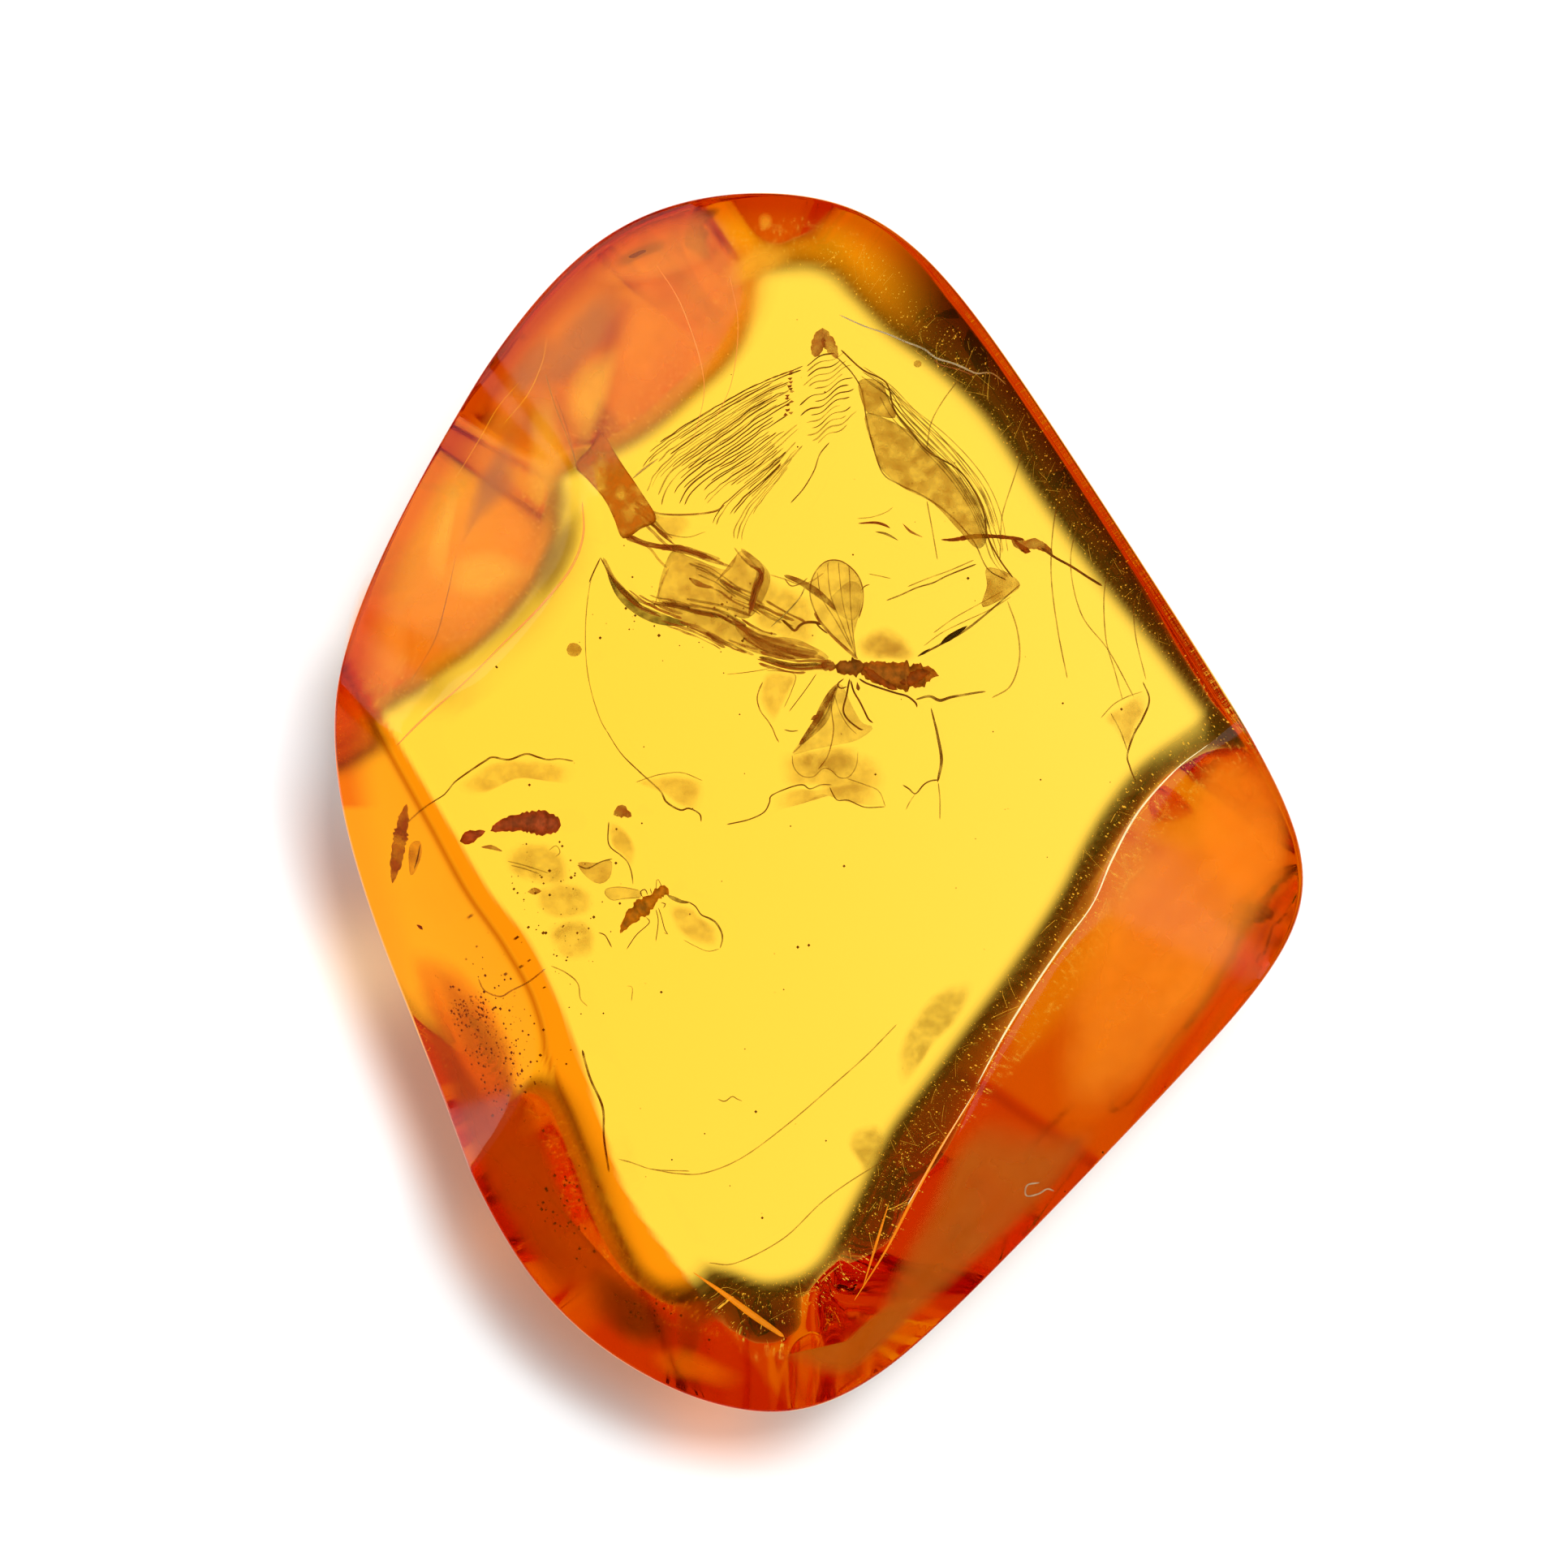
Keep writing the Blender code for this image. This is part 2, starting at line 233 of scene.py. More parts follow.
def makeStone(material):
    grid = stoneGrid()
    around, rings = amberStone["around"], amberStone["rings"]
    body = grid[:, 1:-1].transpose(1, 0, 2).reshape(-1, 3)
    points = np.concatenate([body, grid[:, 0].mean(axis=0)[None], grid[:, -1].mean(axis=0)[None]])
    column = np.arange(around)
    nextColumn, last = (column + 1) % around, (rings - 1) * around
    cap = np.stack([np.full(around, len(body)), column, nextColumn], axis=1)
    foot = np.stack([np.full(around, len(body) + 1), last + nextColumn, last + column], axis=1)
    faces = ringFaces(rings, around).tolist() + cap.tolist() + foot.tolist()
    piece = makeMesh("amber_body", points, faces, material)
    x, y, z = points.T
    step = amberStone["slopeStep"]
    slope = np.stack([stoneField(x + step, y, z) - stoneField(x - step, y, z),
                      stoneField(x, y + step, z) - stoneField(x, y - step, z),
                      stoneField(x, y, z + step) - stoneField(x, y, z - step)], axis=1)
    piece.data.normals_split_custom_set_from_vertices(slope / np.linalg.norm(slope, axis=1, keepdims=True))
    # painted shade tints the left bevels: a strip between the first ridge and the second, a dark line, a
    # window; they stand in for the colours that light passing through those bevels gives
    shallow, steep = amberStone["bevels"][3], amberStone["bevels"][4]
    out, along = outAndAlong(x, y, shallow[0])
    first = out - smoothCurve(shallow[3], along)
    second = out - smoothCurve(steep[3], np.minimum(along, amberLook["windowEnd"])) - amberLook["windowInset"]
    window = smoothStep(second, *amberLook["windowGrows"])[:, None]
    line = np.exp(-((second - amberLook["lineAt"]) / amberLook["lineWidth"]) ** 2)[:, None]
    paintedShadeTint = np.array(amberLook["strip"]) * (1.0 - window) + np.array(amberLook["window"]) * window
    paintedShadeTint = paintedShadeTint * (1.0 - line) + np.array(amberLook["line"]) * line
    amount = (smoothStep(first, *amberLook["stripGrows"]) * smoothStep(z, *amberLook["leftHeight"]))[:, None]
    paintedShadeTint = 1.0 - amount * (1.0 - paintedShadeTint)
    # painted shade: a darker tint follows the outline, strongest on the upper left and the upper right, for
    # the longer way that light takes through the edges
    outline, turn = outlineField(x, y), np.degrees(np.arctan2(y, x))
    least = amberLook["rimShare"]
    share = least + (1.0 - least) * smoothStep(turn, *amberLook["rimFullFrom"])
    side = smoothStep(z - undersideHeight(x, y), *amberLook["sideHeight"])
    rim = (smoothStep(outline, *amberLook["rimOut"]) * side * share)[:, None]
    paintedShadeTint = paintedShadeTint * (1.0 - rim * (1.0 - np.array(amberLook["rim"])))
    # its fourth value is the roughness: the hand-ground bevels are less polished than the wide face
    bevelled = smoothStep(faceHeight(x, y) - z, *amberLook["belowFace"]) * side
    rough = amberLook["bevelRoughness"] * bevelled * smoothStep(-outline, *amberLook["insideOutline"])
    layer = piece.data.attributes.new("paintedShadeTint", "FLOAT_COLOR", "POINT")
    layer.data.foreach_set("color", np.concatenate([paintedShadeTint, rough[:, None]], axis=1).astype(np.float32).ravel())
    return piece


amberLook = {
    "ior": 1.54, "bevelRoughness": 0.1,
    # colours of the painted shade on the left bevels: the strip, the dark line and the window
    "strip": (0.78, 0.17, 0.002), "line": (0.32, 0.04, 0.0), "window": (0.87, 0.28, 0.01),
    "absorption": (8.8, 58.0, 316.0),  # per metre, for red, green and blue
    # painted shade along the outline
    "rim": (0.72, 0.20, 0.0), "rimOut": (-1.25, -0.25),  # tint along the outline, and where it grows, in mm
    "rimShare": 0.35, "rimFullFrom": (8.0, 30.0),  # how strong it is on the lower sides, and the turn to full
    # where each tint grows, in mm: past the first ridge, past the second, up the side and down from the face
    "stripGrows": (-0.05, 0.1), "windowGrows": (-0.02, 0.08), "lineAt": 0.17, "lineWidth": 0.12,
    "leftHeight": (0.5, 3.0), "sideHeight": (1.0, 2.0), "belowFace": (0.02, 0.15),
    "insideOutline": (0.1, 0.3), "windowEnd": 3.6, "windowInset": 0.02,
}


def newMaterial(name):
    material = bpy.data.materials.new(name)
    material.use_nodes = True
    material.cycles.emission_sampling = "NONE"  # faint glows aren't lamps, and many of them slow a render
    return material, material.node_tree.nodes, material.node_tree.links


def amberMaterial():
    material, nodes, links = newMaterial("amber")
    shader = nodes["Principled BSDF"]
    shader.inputs["Base Color"].default_value = (1.0, 1.0, 1.0, 1.0)
    # the stone's colour is the painted shade tint, and the tint's fourth value is its roughness
    paintedShadeTint = nodes.new("ShaderNodeAttribute")
    paintedShadeTint.attribute_name = "paintedShadeTint"
    links.new(paintedShadeTint.outputs["Color"], shader.inputs["Base Color"])
    shader.inputs["Metallic"].default_value = 0.0
    shader.inputs["Transmission Weight"].default_value = 1.0
    shader.inputs["IOR"].default_value = amberLook["ior"]
    links.new(paintedShadeTint.outputs["Alpha"], shader.inputs["Roughness"])
    volume = nodes.new("ShaderNodeVolumeAbsorption")
    density = max(amberLook["absorption"])
    volume.inputs["Density"].default_value = density
    passed = [1.0 - value / density for value in amberLook["absorption"]]
    volume.inputs["Color"].default_value = (*passed, 1.0)
    links.new(volume.outputs["Volume"], nodes["Material Output"].inputs["Volume"])
    return material


# the colour is the piece's own tone, mottled by noise of this grain between two strengths, and a veil lets
# the amber show through
def sealedMaterial(name, veil, grain, mottling=(0.55, 1.35), paintedGlow=0.0):
    material, nodes, links = newMaterial(name)
    shader = nodes["Principled BSDF"]
    shader.inputs["Roughness"].default_value = 0.55
    shader.inputs["IOR"].default_value = 1.54
    tone = nodes.new("ShaderNodeAttribute")
    tone.attribute_name = "tone"
    # painted light: the tone also glows, though the piece is no lamp
    if paintedGlow:
        links.new(tone.outputs["Color"], shader.inputs["Emission Color"])
        shader.inputs["Emission Strength"].default_value = paintedGlow
    place = nodes.new("ShaderNodeTexCoord")
    mottle = nodes.new("ShaderNodeTexNoise")
    mottle.inputs["Scale"].default_value = grain
    mottle.inputs["Detail"].default_value = 2.0
    links.new(place.outputs["Object"], mottle.inputs["Vector"])
    spread = nodes.new("ShaderNodeMapRange")
    spread.inputs["From Min"].default_value = 0.32
    spread.inputs["From Max"].default_value = 0.68
    spread.inputs["To Min"].default_value = mottling[0]
    spread.inputs["To Max"].default_value = mottling[1]
    links.new(mottle.outputs["Fac"], spread.inputs["Value"])
    if veil:
        material.use_transparent_shadow = False  # the amber round it stops the lamps' direct light anyway
        links.new(tone.outputs["Color"], shader.inputs["Base Color"])
        cover = nodes.new("ShaderNodeMath")
        cover.operation = "MULTIPLY"
        cover.use_clamp = True
        links.new(tone.outputs["Alpha"], cover.inputs[0])
        links.new(spread.outputs["Result"], cover.inputs[1])
        links.new(cover.outputs["Value"], shader.inputs["Alpha"])
    else:
        colour = nodes.new("ShaderNodeVectorMath")
        colour.operation = "SCALE"
        links.new(tone.outputs["Color"], colour.inputs[0])
        links.new(spread.outputs["Result"], colour.inputs["Scale"])
        links.new(colour.outputs["Vector"], shader.inputs["Base Color"])
    return material


# Plan places are drawn on a view grid of 1932 units across and down, x to the right and y down, 1 unit being
# 0.02408 mm at 5 mm height. Depths are mm below the top face. "tone" is a colour with how solid it looks
viewGrid = {"unit": 0.02408, "middle": (1011.5, 990.5), "eye": (-1.096, 0.59, 147.15), "cover": 0.3}
tones = {
    "chitin": (0.45, 0.20, 0.075, 0.97), "abdomen": (0.66, 0.28, 0.08, 0.9),
    "limb": (0.32, 0.13, 0.04, 0.9), "gnat": (0.80, 0.36, 0.02, 0.93), "vein": (0.55, 0.22, 0.05, 0.6),
    "faintVein": (0.55, 0.25, 0.06, 0.42), "wing": (0.70, 0.34, 0.06, 0.20),
    "wingDark": (0.62, 0.25, 0.05, 0.4), "bark": (0.72, 0.25, 0.08, 0.62),
    "fibre": (0.66, 0.20, 0.09, 0.42), "barkDark": (0.48, 0.13, 0.03, 0.9),
    "garnet": (0.58, 0.12, 0.085, 0.95), "scrap": (0.86, 0.40, 0.11, 0.32),
    "haze": (0.85, 0.44, 0.06, 0.22), "milk": (0.95, 0.75, 0.42, 0.26),
    "crescent": (0.88, 0.50, 0.05, 0.44), "pale": (0.62, 0.44, 0.05, 0.26),
    "crack": (0.34, 0.17, 0.025, 0.7), "faintCrack": (0.42, 0.23, 0.03, 0.42),
    "ripple": (0.34, 0.18, 0.02, 0.85), "rust": (1.0, 0.36, 0.005, 0.74),
    "olive": (0.20, 0.15, 0.02, 0.5), "black": (0.05, 0.03, 0.01, 0.95), "glint": (1.0, 0.95, 0.6, 0.9),
    "hair": (1.0, 1.0, 0.8, 0.75), "dust": (1.0, 0.95, 0.7, 0.97), "speck": (0.35, 0.16, 0.03, 0.85),
    # the tones of the bevels' sheets, from the cloudy one on, are painted light and painted shade
    "cloud": (0.80, 0.34, 0.05, 0.22), "cloudyGlow": (1.0, 0.33, 0.004, 0.42),
    "cloudyShade": (0.50, 0.12, 0.0, 0.62), "smokyShade": (0.46, 0.15, 0.03, 0.42),
    "sunny": (1.0, 0.52, 0.02, 0.44), "umber": (0.36, 0.20, 0.01, 0.5), "salmon": (1.0, 0.42, 0.10, 0.6),
    "paintedDark": (0.22, 0.05, 0.0, 0.7),
}
# tones of sheets of painted light and shade in the bevels
facetTones = ("smokyShade", "sunny", "umber", "paintedDark")
softTones = ("haze", "milk", "cloud", "pale", "cloudyGlow", "cloudyShade") + facetTones


# the straight line from the eye to the face, then the bent line on down to the depth
def sealedAt(points, depth):
    grid = np.array(points, float)
    x = (grid[..., 0] - viewGrid["middle"][0]) * viewGrid["unit"]
    y = (viewGrid["middle"][1] - grid[..., 1]) * viewGrid["unit"]
    eyeX, eyeY, eyeZ = viewGrid["eye"]
    reach = (eyeZ - faceHeight(x, y)) / (eyeZ - 5.0)
    faceX, faceY = eyeX + (x - eyeX) * reach, eyeY + (y - eyeY) * reach
    run, pull = 1.0 / (eyeZ - 5.0) / amberLook["ior"], 1.0 - 1.0 / amberLook["ior"]
    fallX = amberStone["faceFall"] + 2.0 * amberStone["faceDome"] * faceX
    fallY = 2.0 * amberStone["faceDome"] * faceY
    deepX = faceX + depth * ((x - eyeX) * run - pull * fallX)
    deepY = faceY + depth * ((y - eyeY) * run - pull * fallY)
    lowest = undersideHeight(deepX, deepY) + viewGrid["cover"]
    deepZ = np.minimum(faceHeight(faceX, faceY) - depth, topHeight(deepX, deepY) - viewGrid["cover"])
    return np.stack([deepX, deepY, np.maximum(deepZ, lowest)], axis=-1)


def resampled(points, step, closed=False):  # Catmull-Rom curve through the rows, with points a step apart
    rows = np.array(points, float)
    if closed:
        padded = np.concatenate([rows[-1:], rows, rows[:2]])
    else:
        padded = np.concatenate([2 * rows[:1] - rows[1:2], rows, 2 * rows[-1:] - rows[-2:-1]])
    a, b, c, d = padded[:-3], padded[1:-2], padded[2:-1], padded[3:]
    t = np.linspace(0.0, 1.0, 12, endpoint=False)[:, None, None]
    square, cube = (2 * a - 5 * b + 4 * c - d) * t ** 2, (3 * b - a - 3 * c + d) * t ** 3
    curve = 0.5 * (2 * b + (c - a) * t + square + cube)
    curve = curve.transpose(1, 0, 2).reshape(-1, rows.shape[1])
    if not closed:
        curve = np.concatenate([curve, rows[-1:]])
    travelled = np.concatenate([[0.0], np.cumsum(np.hypot(*np.diff(curve[:, :2], axis=0).T))])
    count = max(int(travelled[-1] / step) + 1, 8 if closed else 3)
    places = np.linspace(0.0, travelled[-1], count, endpoint=not closed)
    return np.stack([np.interp(places, travelled, column) for column in curve.T], axis=1)


def spreadOver(values, count):  # one number, or a few along a line, as one for each of its points
    given = np.atleast_1d(np.asarray(values, float))
    return np.interp(np.linspace(0.0, 1.0, count), np.linspace(0.0, 1.0, len(given)), given)


# a tube along the points, whose widths and depth are spread over it, and both ends come to a point
def strandMesh(tone, width, depth, points, sides=6, flat=1.0, knobs=0.0, seed=0):
    rows = np.array(points, float)
    widths, depths = spreadOver(width, len(rows)), spreadOver(depth, len(rows))
    line = resampled(np.column_stack([rows, widths, depths]), 2.6)
    centre = sealedAt(line[:, :2], line[:, 3])
    radius = np.maximum(line[:, 2], 0.3) * viewGrid["unit"] / 2.0
    if knobs:
        wave = np.random.default_rng(seed).normal(size=len(line))
        radius = radius * (1.0 + knobs * wave)
    taper = np.sqrt(np.clip(np.minimum(np.arange(len(line)), np.arange(len(line))[::-1]) / 1.5, 0.0, 1.0))
    radius = radius * np.maximum(taper, 0.08)
    return tubeMesh(tone, centre, radius, sides, flat)


# rings square to the line, each as wide as its own radius
def tubeMesh(tone, centre, radius, sides, flat=1.0):
    radius = np.broadcast_to(radius, (len(centre),))
    ahead = np.gradient(centre, axis=0)
    ahead /= np.maximum(np.linalg.norm(ahead, axis=1, keepdims=True), 1e-9)
    across = np.cross(ahead, (0.0, 0.0, 1.0))
    across /= np.maximum(np.linalg.norm(across, axis=1, keepdims=True), 1e-9)
    up = np.cross(across, ahead)
    turn = np.linspace(0.0, 2.0 * math.pi, sides, endpoint=False)
    ring = across[:, None] * np.cos(turn)[:, None] + up[:, None] * np.sin(turn)[:, None] * flat
    body = (centre[:, None] + ring * radius[:, None, None]).reshape(-1, 3)
    count = len(centre)
    column = np.arange(sides)
    quads = ringFaces(count, sides)
    first = np.stack([np.full(sides, len(body)), column, (column + 1) % sides], axis=1)
    last = np.stack([np.full(sides, len(body) + 1), (count - 1) * sides + (column + 1) % sides,
                     (count - 1) * sides + column], axis=1)
    every = np.concatenate([body, centre[:1], centre[-1:]])
    return every, quads.tolist() + first.tolist() + last.tolist(), np.tile(tones[tone], (len(every), 1))


# a thin closed lens with the drawn outline: its two skins meet at the edge, and it is gently waved
def filmMesh(tone, depth, points, thick=0.03, wave=0.05, seed=0, rings=9):
    rim = resampled(points, 5.0, True)
    middle = rim.mean(axis=0)
    inward = np.linspace(1.0, 0.12, rings)[:, None, None]
    plan = middle + (rim - middle) * inward
    rng = np.random.default_rng(seed)
    phase = rng.uniform(0.0, 6.28, 4)
    lift = wave * (np.sin(plan[..., 0] / 23.0 + phase[0]) + np.sin(plan[..., 1] / 17.0 + phase[1])
                   + 0.5 * np.sin((plan[..., 0] + plan[..., 1]) / 9.0 + phase[2]))
    sheet = sealedAt(plan, depth - lift)
    middlePoint = sealedAt(middle, depth - lift[-1].mean())
    swell = thick / 2.0 * (1.0 - inward[..., 0] ** 2)[..., None] * np.array((0.0, 0.0, 1.0))
    count = len(rim)
    top = (sheet + swell).reshape(-1, 3)
    under = (sheet - swell)[1:].reshape(-1, 3)
    pole = np.array((0.0, 0.0, thick / 2.0))
    every = np.concatenate([top, under, middlePoint[None] + pole, middlePoint[None] - pole])
    column, nextColumn = np.arange(count), (np.arange(count) + 1) % count
    upper = ringFaces(rings, count)
    lower = ringFaces(rings, count)[:, ::-1].copy()
    lower = np.where(lower >= count, lower + len(top) - count, lower)
    apex, foot = len(top) + len(under), len(top) + len(under) + 1
    lastTop, lastUnder = (rings - 1) * count, len(top) + (rings - 2) * count
    capTop = np.stack([np.full(count, apex), lastTop + nextColumn, lastTop + column], axis=1)
    capUnder = np.stack([np.full(count, foot), lastUnder + column, lastUnder + nextColumn], axis=1)
    faces = upper.tolist() + lower.tolist() + capTop.tolist() + capUnder.tolist()
    colours = np.tile(tones[tone], (len(every), 1))
    if tone in softTones:  # these fade out towards their edge
        cover = smoothStep(1.0 - np.repeat(inward[:, 0, 0], count), 0.0, 0.8 if tone in facetTones else 0.45)
        colours[:, 3] *= np.concatenate([cover, cover[count:], (1.0, 1.0)])
    return every, faces, colours


def bodyMesh(tone, depth, points, widths, flat=0.8, lumps=0.12, seed=0):  # a lumpy sausage along the points
    return strandMesh(tone, widths, depth, points, sides=14, flat=flat, knobs=lumps, seed=seed)


def joined(parts):  # several (points, faces, tones) as one
    points, faces, colours, base = [], [], [], 0
    for every, quads, colour in parts:
        points.append(every)
        colours.append(colour)
        faces.extend([[corner + base for corner in face] for face in quads])
        base += len(every)
    return np.concatenate(points), faces, np.concatenate(colours)


# the parts that look solid become one piece, and those that let light through another
def makeSealed(name, parts):
    for ending, veil in (("solid", False), ("veil", True)):
        chosen = [part for part in parts if (part[2][0, 3] < 0.8) == veil]
        if not chosen:
            continue
        points, faces, colours = joined(chosen)
        piece = makeMesh(name + "_" + ending, points, faces, sealedLooks[ending])
        layer = piece.data.attributes.new("tone", "FLOAT_COLOR", "POINT")
        layer.data.foreach_set("color", colours.astype(np.float32).ravel())
        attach(piece, "root")
        print(piece.name, len(faces), "faces")


def sealedParts(drawing):  # a drawing's bodies, strands and films as meshes
    parts = [bodyMesh(tone, depth, points, widths, seed=seed)
             for tone, depth, points, widths, seed in drawing["bodies"]]
    parts += [strandMesh(tone, width, depth, points) for tone, width, depth, points in drawing["strands"]]
    return parts + [filmMesh(tone, depth, points, seed=seed) for tone, depth, points,
                    seed in drawing["films"]]


wingedInsect = {
    "bodies": (
        ("abdomen", 3.0, ((1060, 822), (1075, 827), (1095, 831), (1116, 833), (1134, 832), (1147, 830),
                          (1157, 833)), (13, 24, 30, 34, 27, 13, 2), 1),
        ("barkDark", 2.75, ((1108, 841), (1120, 838), (1136, 830), (1146, 828)), (5, 14, 12, 3), 2),
        ("chitin", 2.9, ((1028, 820), (1036, 822), (1047, 823), (1058, 821), (1066, 820)),
         (6, 17, 19, 17, 5), 3),
        ("bark", 3.0, ((1010, 820), (1020, 820), (1030, 823)), (7, 13, 10), 4),
        ("chitin", 3.0, ((1056, 840), (1057, 846), (1058, 851)), (2, 4, 8), 5),
        ("barkDark", 2.8, ((1064, 822), (1076, 832), (1092, 843), (1106, 850)), (6, 9, 8, 3), 6),
    ),
    "strands": (
        ("limb", 2.2, 3.1, ((1047, 836), (1045, 846), (1043, 857), (1039, 875), (1045, 887), (1059, 898),
                            (1064, 899))),
        ("limb", 2.2, 3.0, ((1048, 838), (1052, 852), (1059, 864), (1065, 876), (1070, 886), (1076, 891))),
        ("limb", 2.4, 2.9, ((1058, 836), (1068, 842), (1085, 848), (1104, 854), (1118, 858), (1128, 866),
                            (1130, 872))),
        ("limb", 3.4, 3.0, ((963, 763), (971, 770), (979, 777), (985, 771), (993, 767), (1005, 767),
                            (1012, 770))),
        ("limb", 2.0, 3.0, ((1005, 767), (1010, 773), (1020, 781))),
        ("limb", 1.7, 2.8, ((1040, 836), (1032, 843), (1036, 848), (1044, 846))),
        ("bark", (3.2, 3.6, 4.2), 2.9, ((1003, 755), (1012, 768), (1026, 784), (1042, 799), (1057, 812))),
        ("vein", (4, 9, 3), 2.8, ((966, 709), (984, 716), (1004, 728), (1022, 743), (1030, 752))),
        ("vein", 1.6, 2.8, ((966, 712), (975, 722), (988, 718), (995, 712))),
        ("faintVein", 1.3, 2.7, ((1055, 810), (1040, 775), (1024, 735), (1020, 700), (1021, 692))),
        ("faintVein", 1.3, 2.7, ((1055, 810), (1046, 775), (1038, 740), (1034, 705), (1033, 692))),
        ("faintVein", 1.3, 2.7, ((1055, 810), (1051, 780), (1048, 745), (1047, 715), (1046, 698))),
        ("faintVein", 1.3, 2.7, ((1050, 800), (1030, 765), (1012, 735), (1007, 705))),
        ("vein", 1.6, 2.7, ((1012, 768), (1003, 750), (998, 733), (1000, 715), (1008, 700), (1020, 691),
                            (1035, 691), (1048, 699), (1058, 711), (1063, 726), (1063, 744), (1058, 762))),
        ("vein", 1.6, 2.7, ((1061, 727), (1066, 722), (1072, 720))),
        ("faintVein", 1.8, 3.2, ((1030, 845), (1025, 862), (1018, 880), (1004, 900), (990, 915), (977, 928))),
        ("vein", (4, 9, 7, 3), 3.2, ((1034, 842), (1024, 854), (1014, 872), (1006, 888), (996, 902),
                                     (985, 917))),
        ("bark", (2, 6, 2), 3.15, ((999, 887), (1004, 884), (1010, 881))),
        ("vein", 1.5, 3.2, ((1024, 865), (1025, 880), (1027, 895), (1026, 908), (1023, 922), (1018, 935),
                            (1008, 948))),
        ("faintVein", 1.1, 3.2, ((1028, 855), (1034, 875), (1044, 893), (1056, 905))),
        ("faintVein", 1.2, 3.3, ((976, 930), (978, 945), (988, 956), (1002, 957), (1014, 947), (1024, 949),
                                 (1034, 958), (1046, 957), (1055, 944), (1057, 926))),
        ("vein", 1.5, 3.3, ((940, 840), (935, 851), (933, 862), (937, 876), (946, 888), (952, 898),
                            (956, 908), (960, 915))),
        ("faintVein", 1.1, 3.3, ((944, 826), (962, 827), (980, 832), (975, 852), (966, 872))),
        ("limb", 1.0, 3.2, ((1006, 830), (996, 845), (985, 860), (972, 877))),
        ("vein", 1.0, 3.2, ((895, 831), (915, 829), (936, 826), (950, 823))),
        ("fibre", (3, 7, 8, 8, 6, 3), 3.0, ((902, 764), (915, 772), (930, 787), (951, 800), (975, 803),
                                            (998, 806), (1017, 812))),
        ("fibre", (3, 6, 7, 6, 5), 3.1, ((946, 812), (962, 819), (984, 823), (1006, 822), (1022, 820))),
        ("scrap", (2, 7, 6, 2), 2.9, ((930, 790), (955, 788), (985, 792), (1010, 803))),
        ("crack", 1.6, 3.0, ((966, 899), (975, 901), (984, 900))),
    ),
    "films": (
        ("wing", 2.75, ((1055, 810), (1040, 797), (1024, 782), (1010, 766), (1001, 748), (998, 728),
                        (1003, 708), (1016, 694), (1031, 690), (1046, 697), (1057, 710), (1063, 727),
                        (1062, 745), (1057, 763), (1052, 785)), 11),
        ("wing", 2.7, ((1020, 745), (1034, 726), (1048, 716), (1060, 722), (1062, 740), (1056, 760),
                       (1046, 764)), 12),
        ("wing", 3.25, ((1034, 842), (1020, 862), (1005, 885), (985, 915), (976, 930), (1000, 924),
                        (1030, 918), (1056, 912), (1076, 897), (1062, 890), (1050, 870), (1042, 852)), 13),
        ("wingDark", 3.2, ((1032, 845), (1018, 862), (1003, 886), (984, 918), (1004, 905), (1020, 888),
                           (1027, 866)), 14),
        ("haze", 3.3, ((977, 928), (1000, 922), (1030, 917), (1058, 921), (1058, 942), (1046, 957),
                       (1030, 957), (1015, 946), (1002, 957), (986, 955)), 15),
        ("haze", 3.35, ((944, 826), (965, 824), (985, 830), (975, 850), (965, 872), (953, 892), (941, 880),
                        (934, 862), (936, 845)), 16),
        ("cloud", 3.1, ((1056, 806), (1062, 790), (1078, 780), (1098, 782), (1118, 792), (1132, 806),
                        (1120, 816), (1095, 814), (1074, 814)), 17),
        ("cloud", 2.6, ((1050, 798), (1066, 778), (1090, 770), (1112, 780), (1126, 797), (1110, 810),
                        (1080, 808)), 18),
        ("scrap", 2.9, ((905, 770), (930, 775), (960, 786), (990, 792), (1014, 803), (1020, 813),
                        (985, 812), (950, 805), (922, 792)), 19),
    ),
}
littleGnat = {
    "bodies": (
        ("gnat", 2.6, ((764, 1150), (772, 1137), (782, 1126), (793, 1117), (803, 1109), (811, 1103)),
         (2, 12, 18, 19, 14, 7), 21),
        ("gnat", 2.55, ((803, 1108), (811, 1101), (819, 1098), (824, 1103)), (8, 13, 12, 3), 22),
    ),
    "strands": (
        ("limb", 1.3, 2.5, ((792, 1106), (789, 1099), (795, 1096), (798, 1103))),
        ("limb", 1.2, 2.5, ((803, 1102), (801, 1094))),
        ("faintVein", 1.0, 2.5, ((808, 1098), (810, 1083), (817, 1096))),
        ("limb", 1.1, 2.7, ((796, 1130), (800, 1137), (785, 1151), (777, 1162), (772, 1170))),
        ("limb", 1.0, 2.7, ((808, 1120), (811, 1135), (808, 1160))),
        ("limb", 1.0, 2.7, ((811, 1118), (815, 1130), (819, 1145), (823, 1151), (818, 1149))),
        ("limb", 1.4, 2.6, ((814, 1112), (820, 1114), (817, 1119))),
        ("crack", (2.5, 5, 4, 2), 2.5, ((822, 1103), (830, 1107), (840, 1111), (850, 1112))),
        ("crack", (1.6, 1.4, 2.6, 2.2, 1.6), 2.5, ((848, 1111), (857, 1117), (864, 1127), (875, 1132),
                                                   (883, 1138), (889, 1149), (890, 1158), (887, 1169))),
        ("faintVein", 1.0, 2.6, ((790, 1106), (770, 1107), (755, 1109), (746, 1102), (748, 1095),
                                 (765, 1093), (788, 1097))),
        ("faintCrack", 1.0, 2.6, ((887, 1169), (872, 1172), (855, 1165), (842, 1158))),
    ),
    "films": (
        ("wing", 2.6, ((790, 1105), (770, 1108), (754, 1108), (746, 1101), (749, 1095), (768, 1093),
                       (789, 1098)), 23),
        ("haze", 2.6, ((822, 1112), (850, 1116), (866, 1130), (884, 1142), (889, 1156), (884, 1168),
                       (862, 1166), (838, 1152), (826, 1134)), 24),
    ),
}
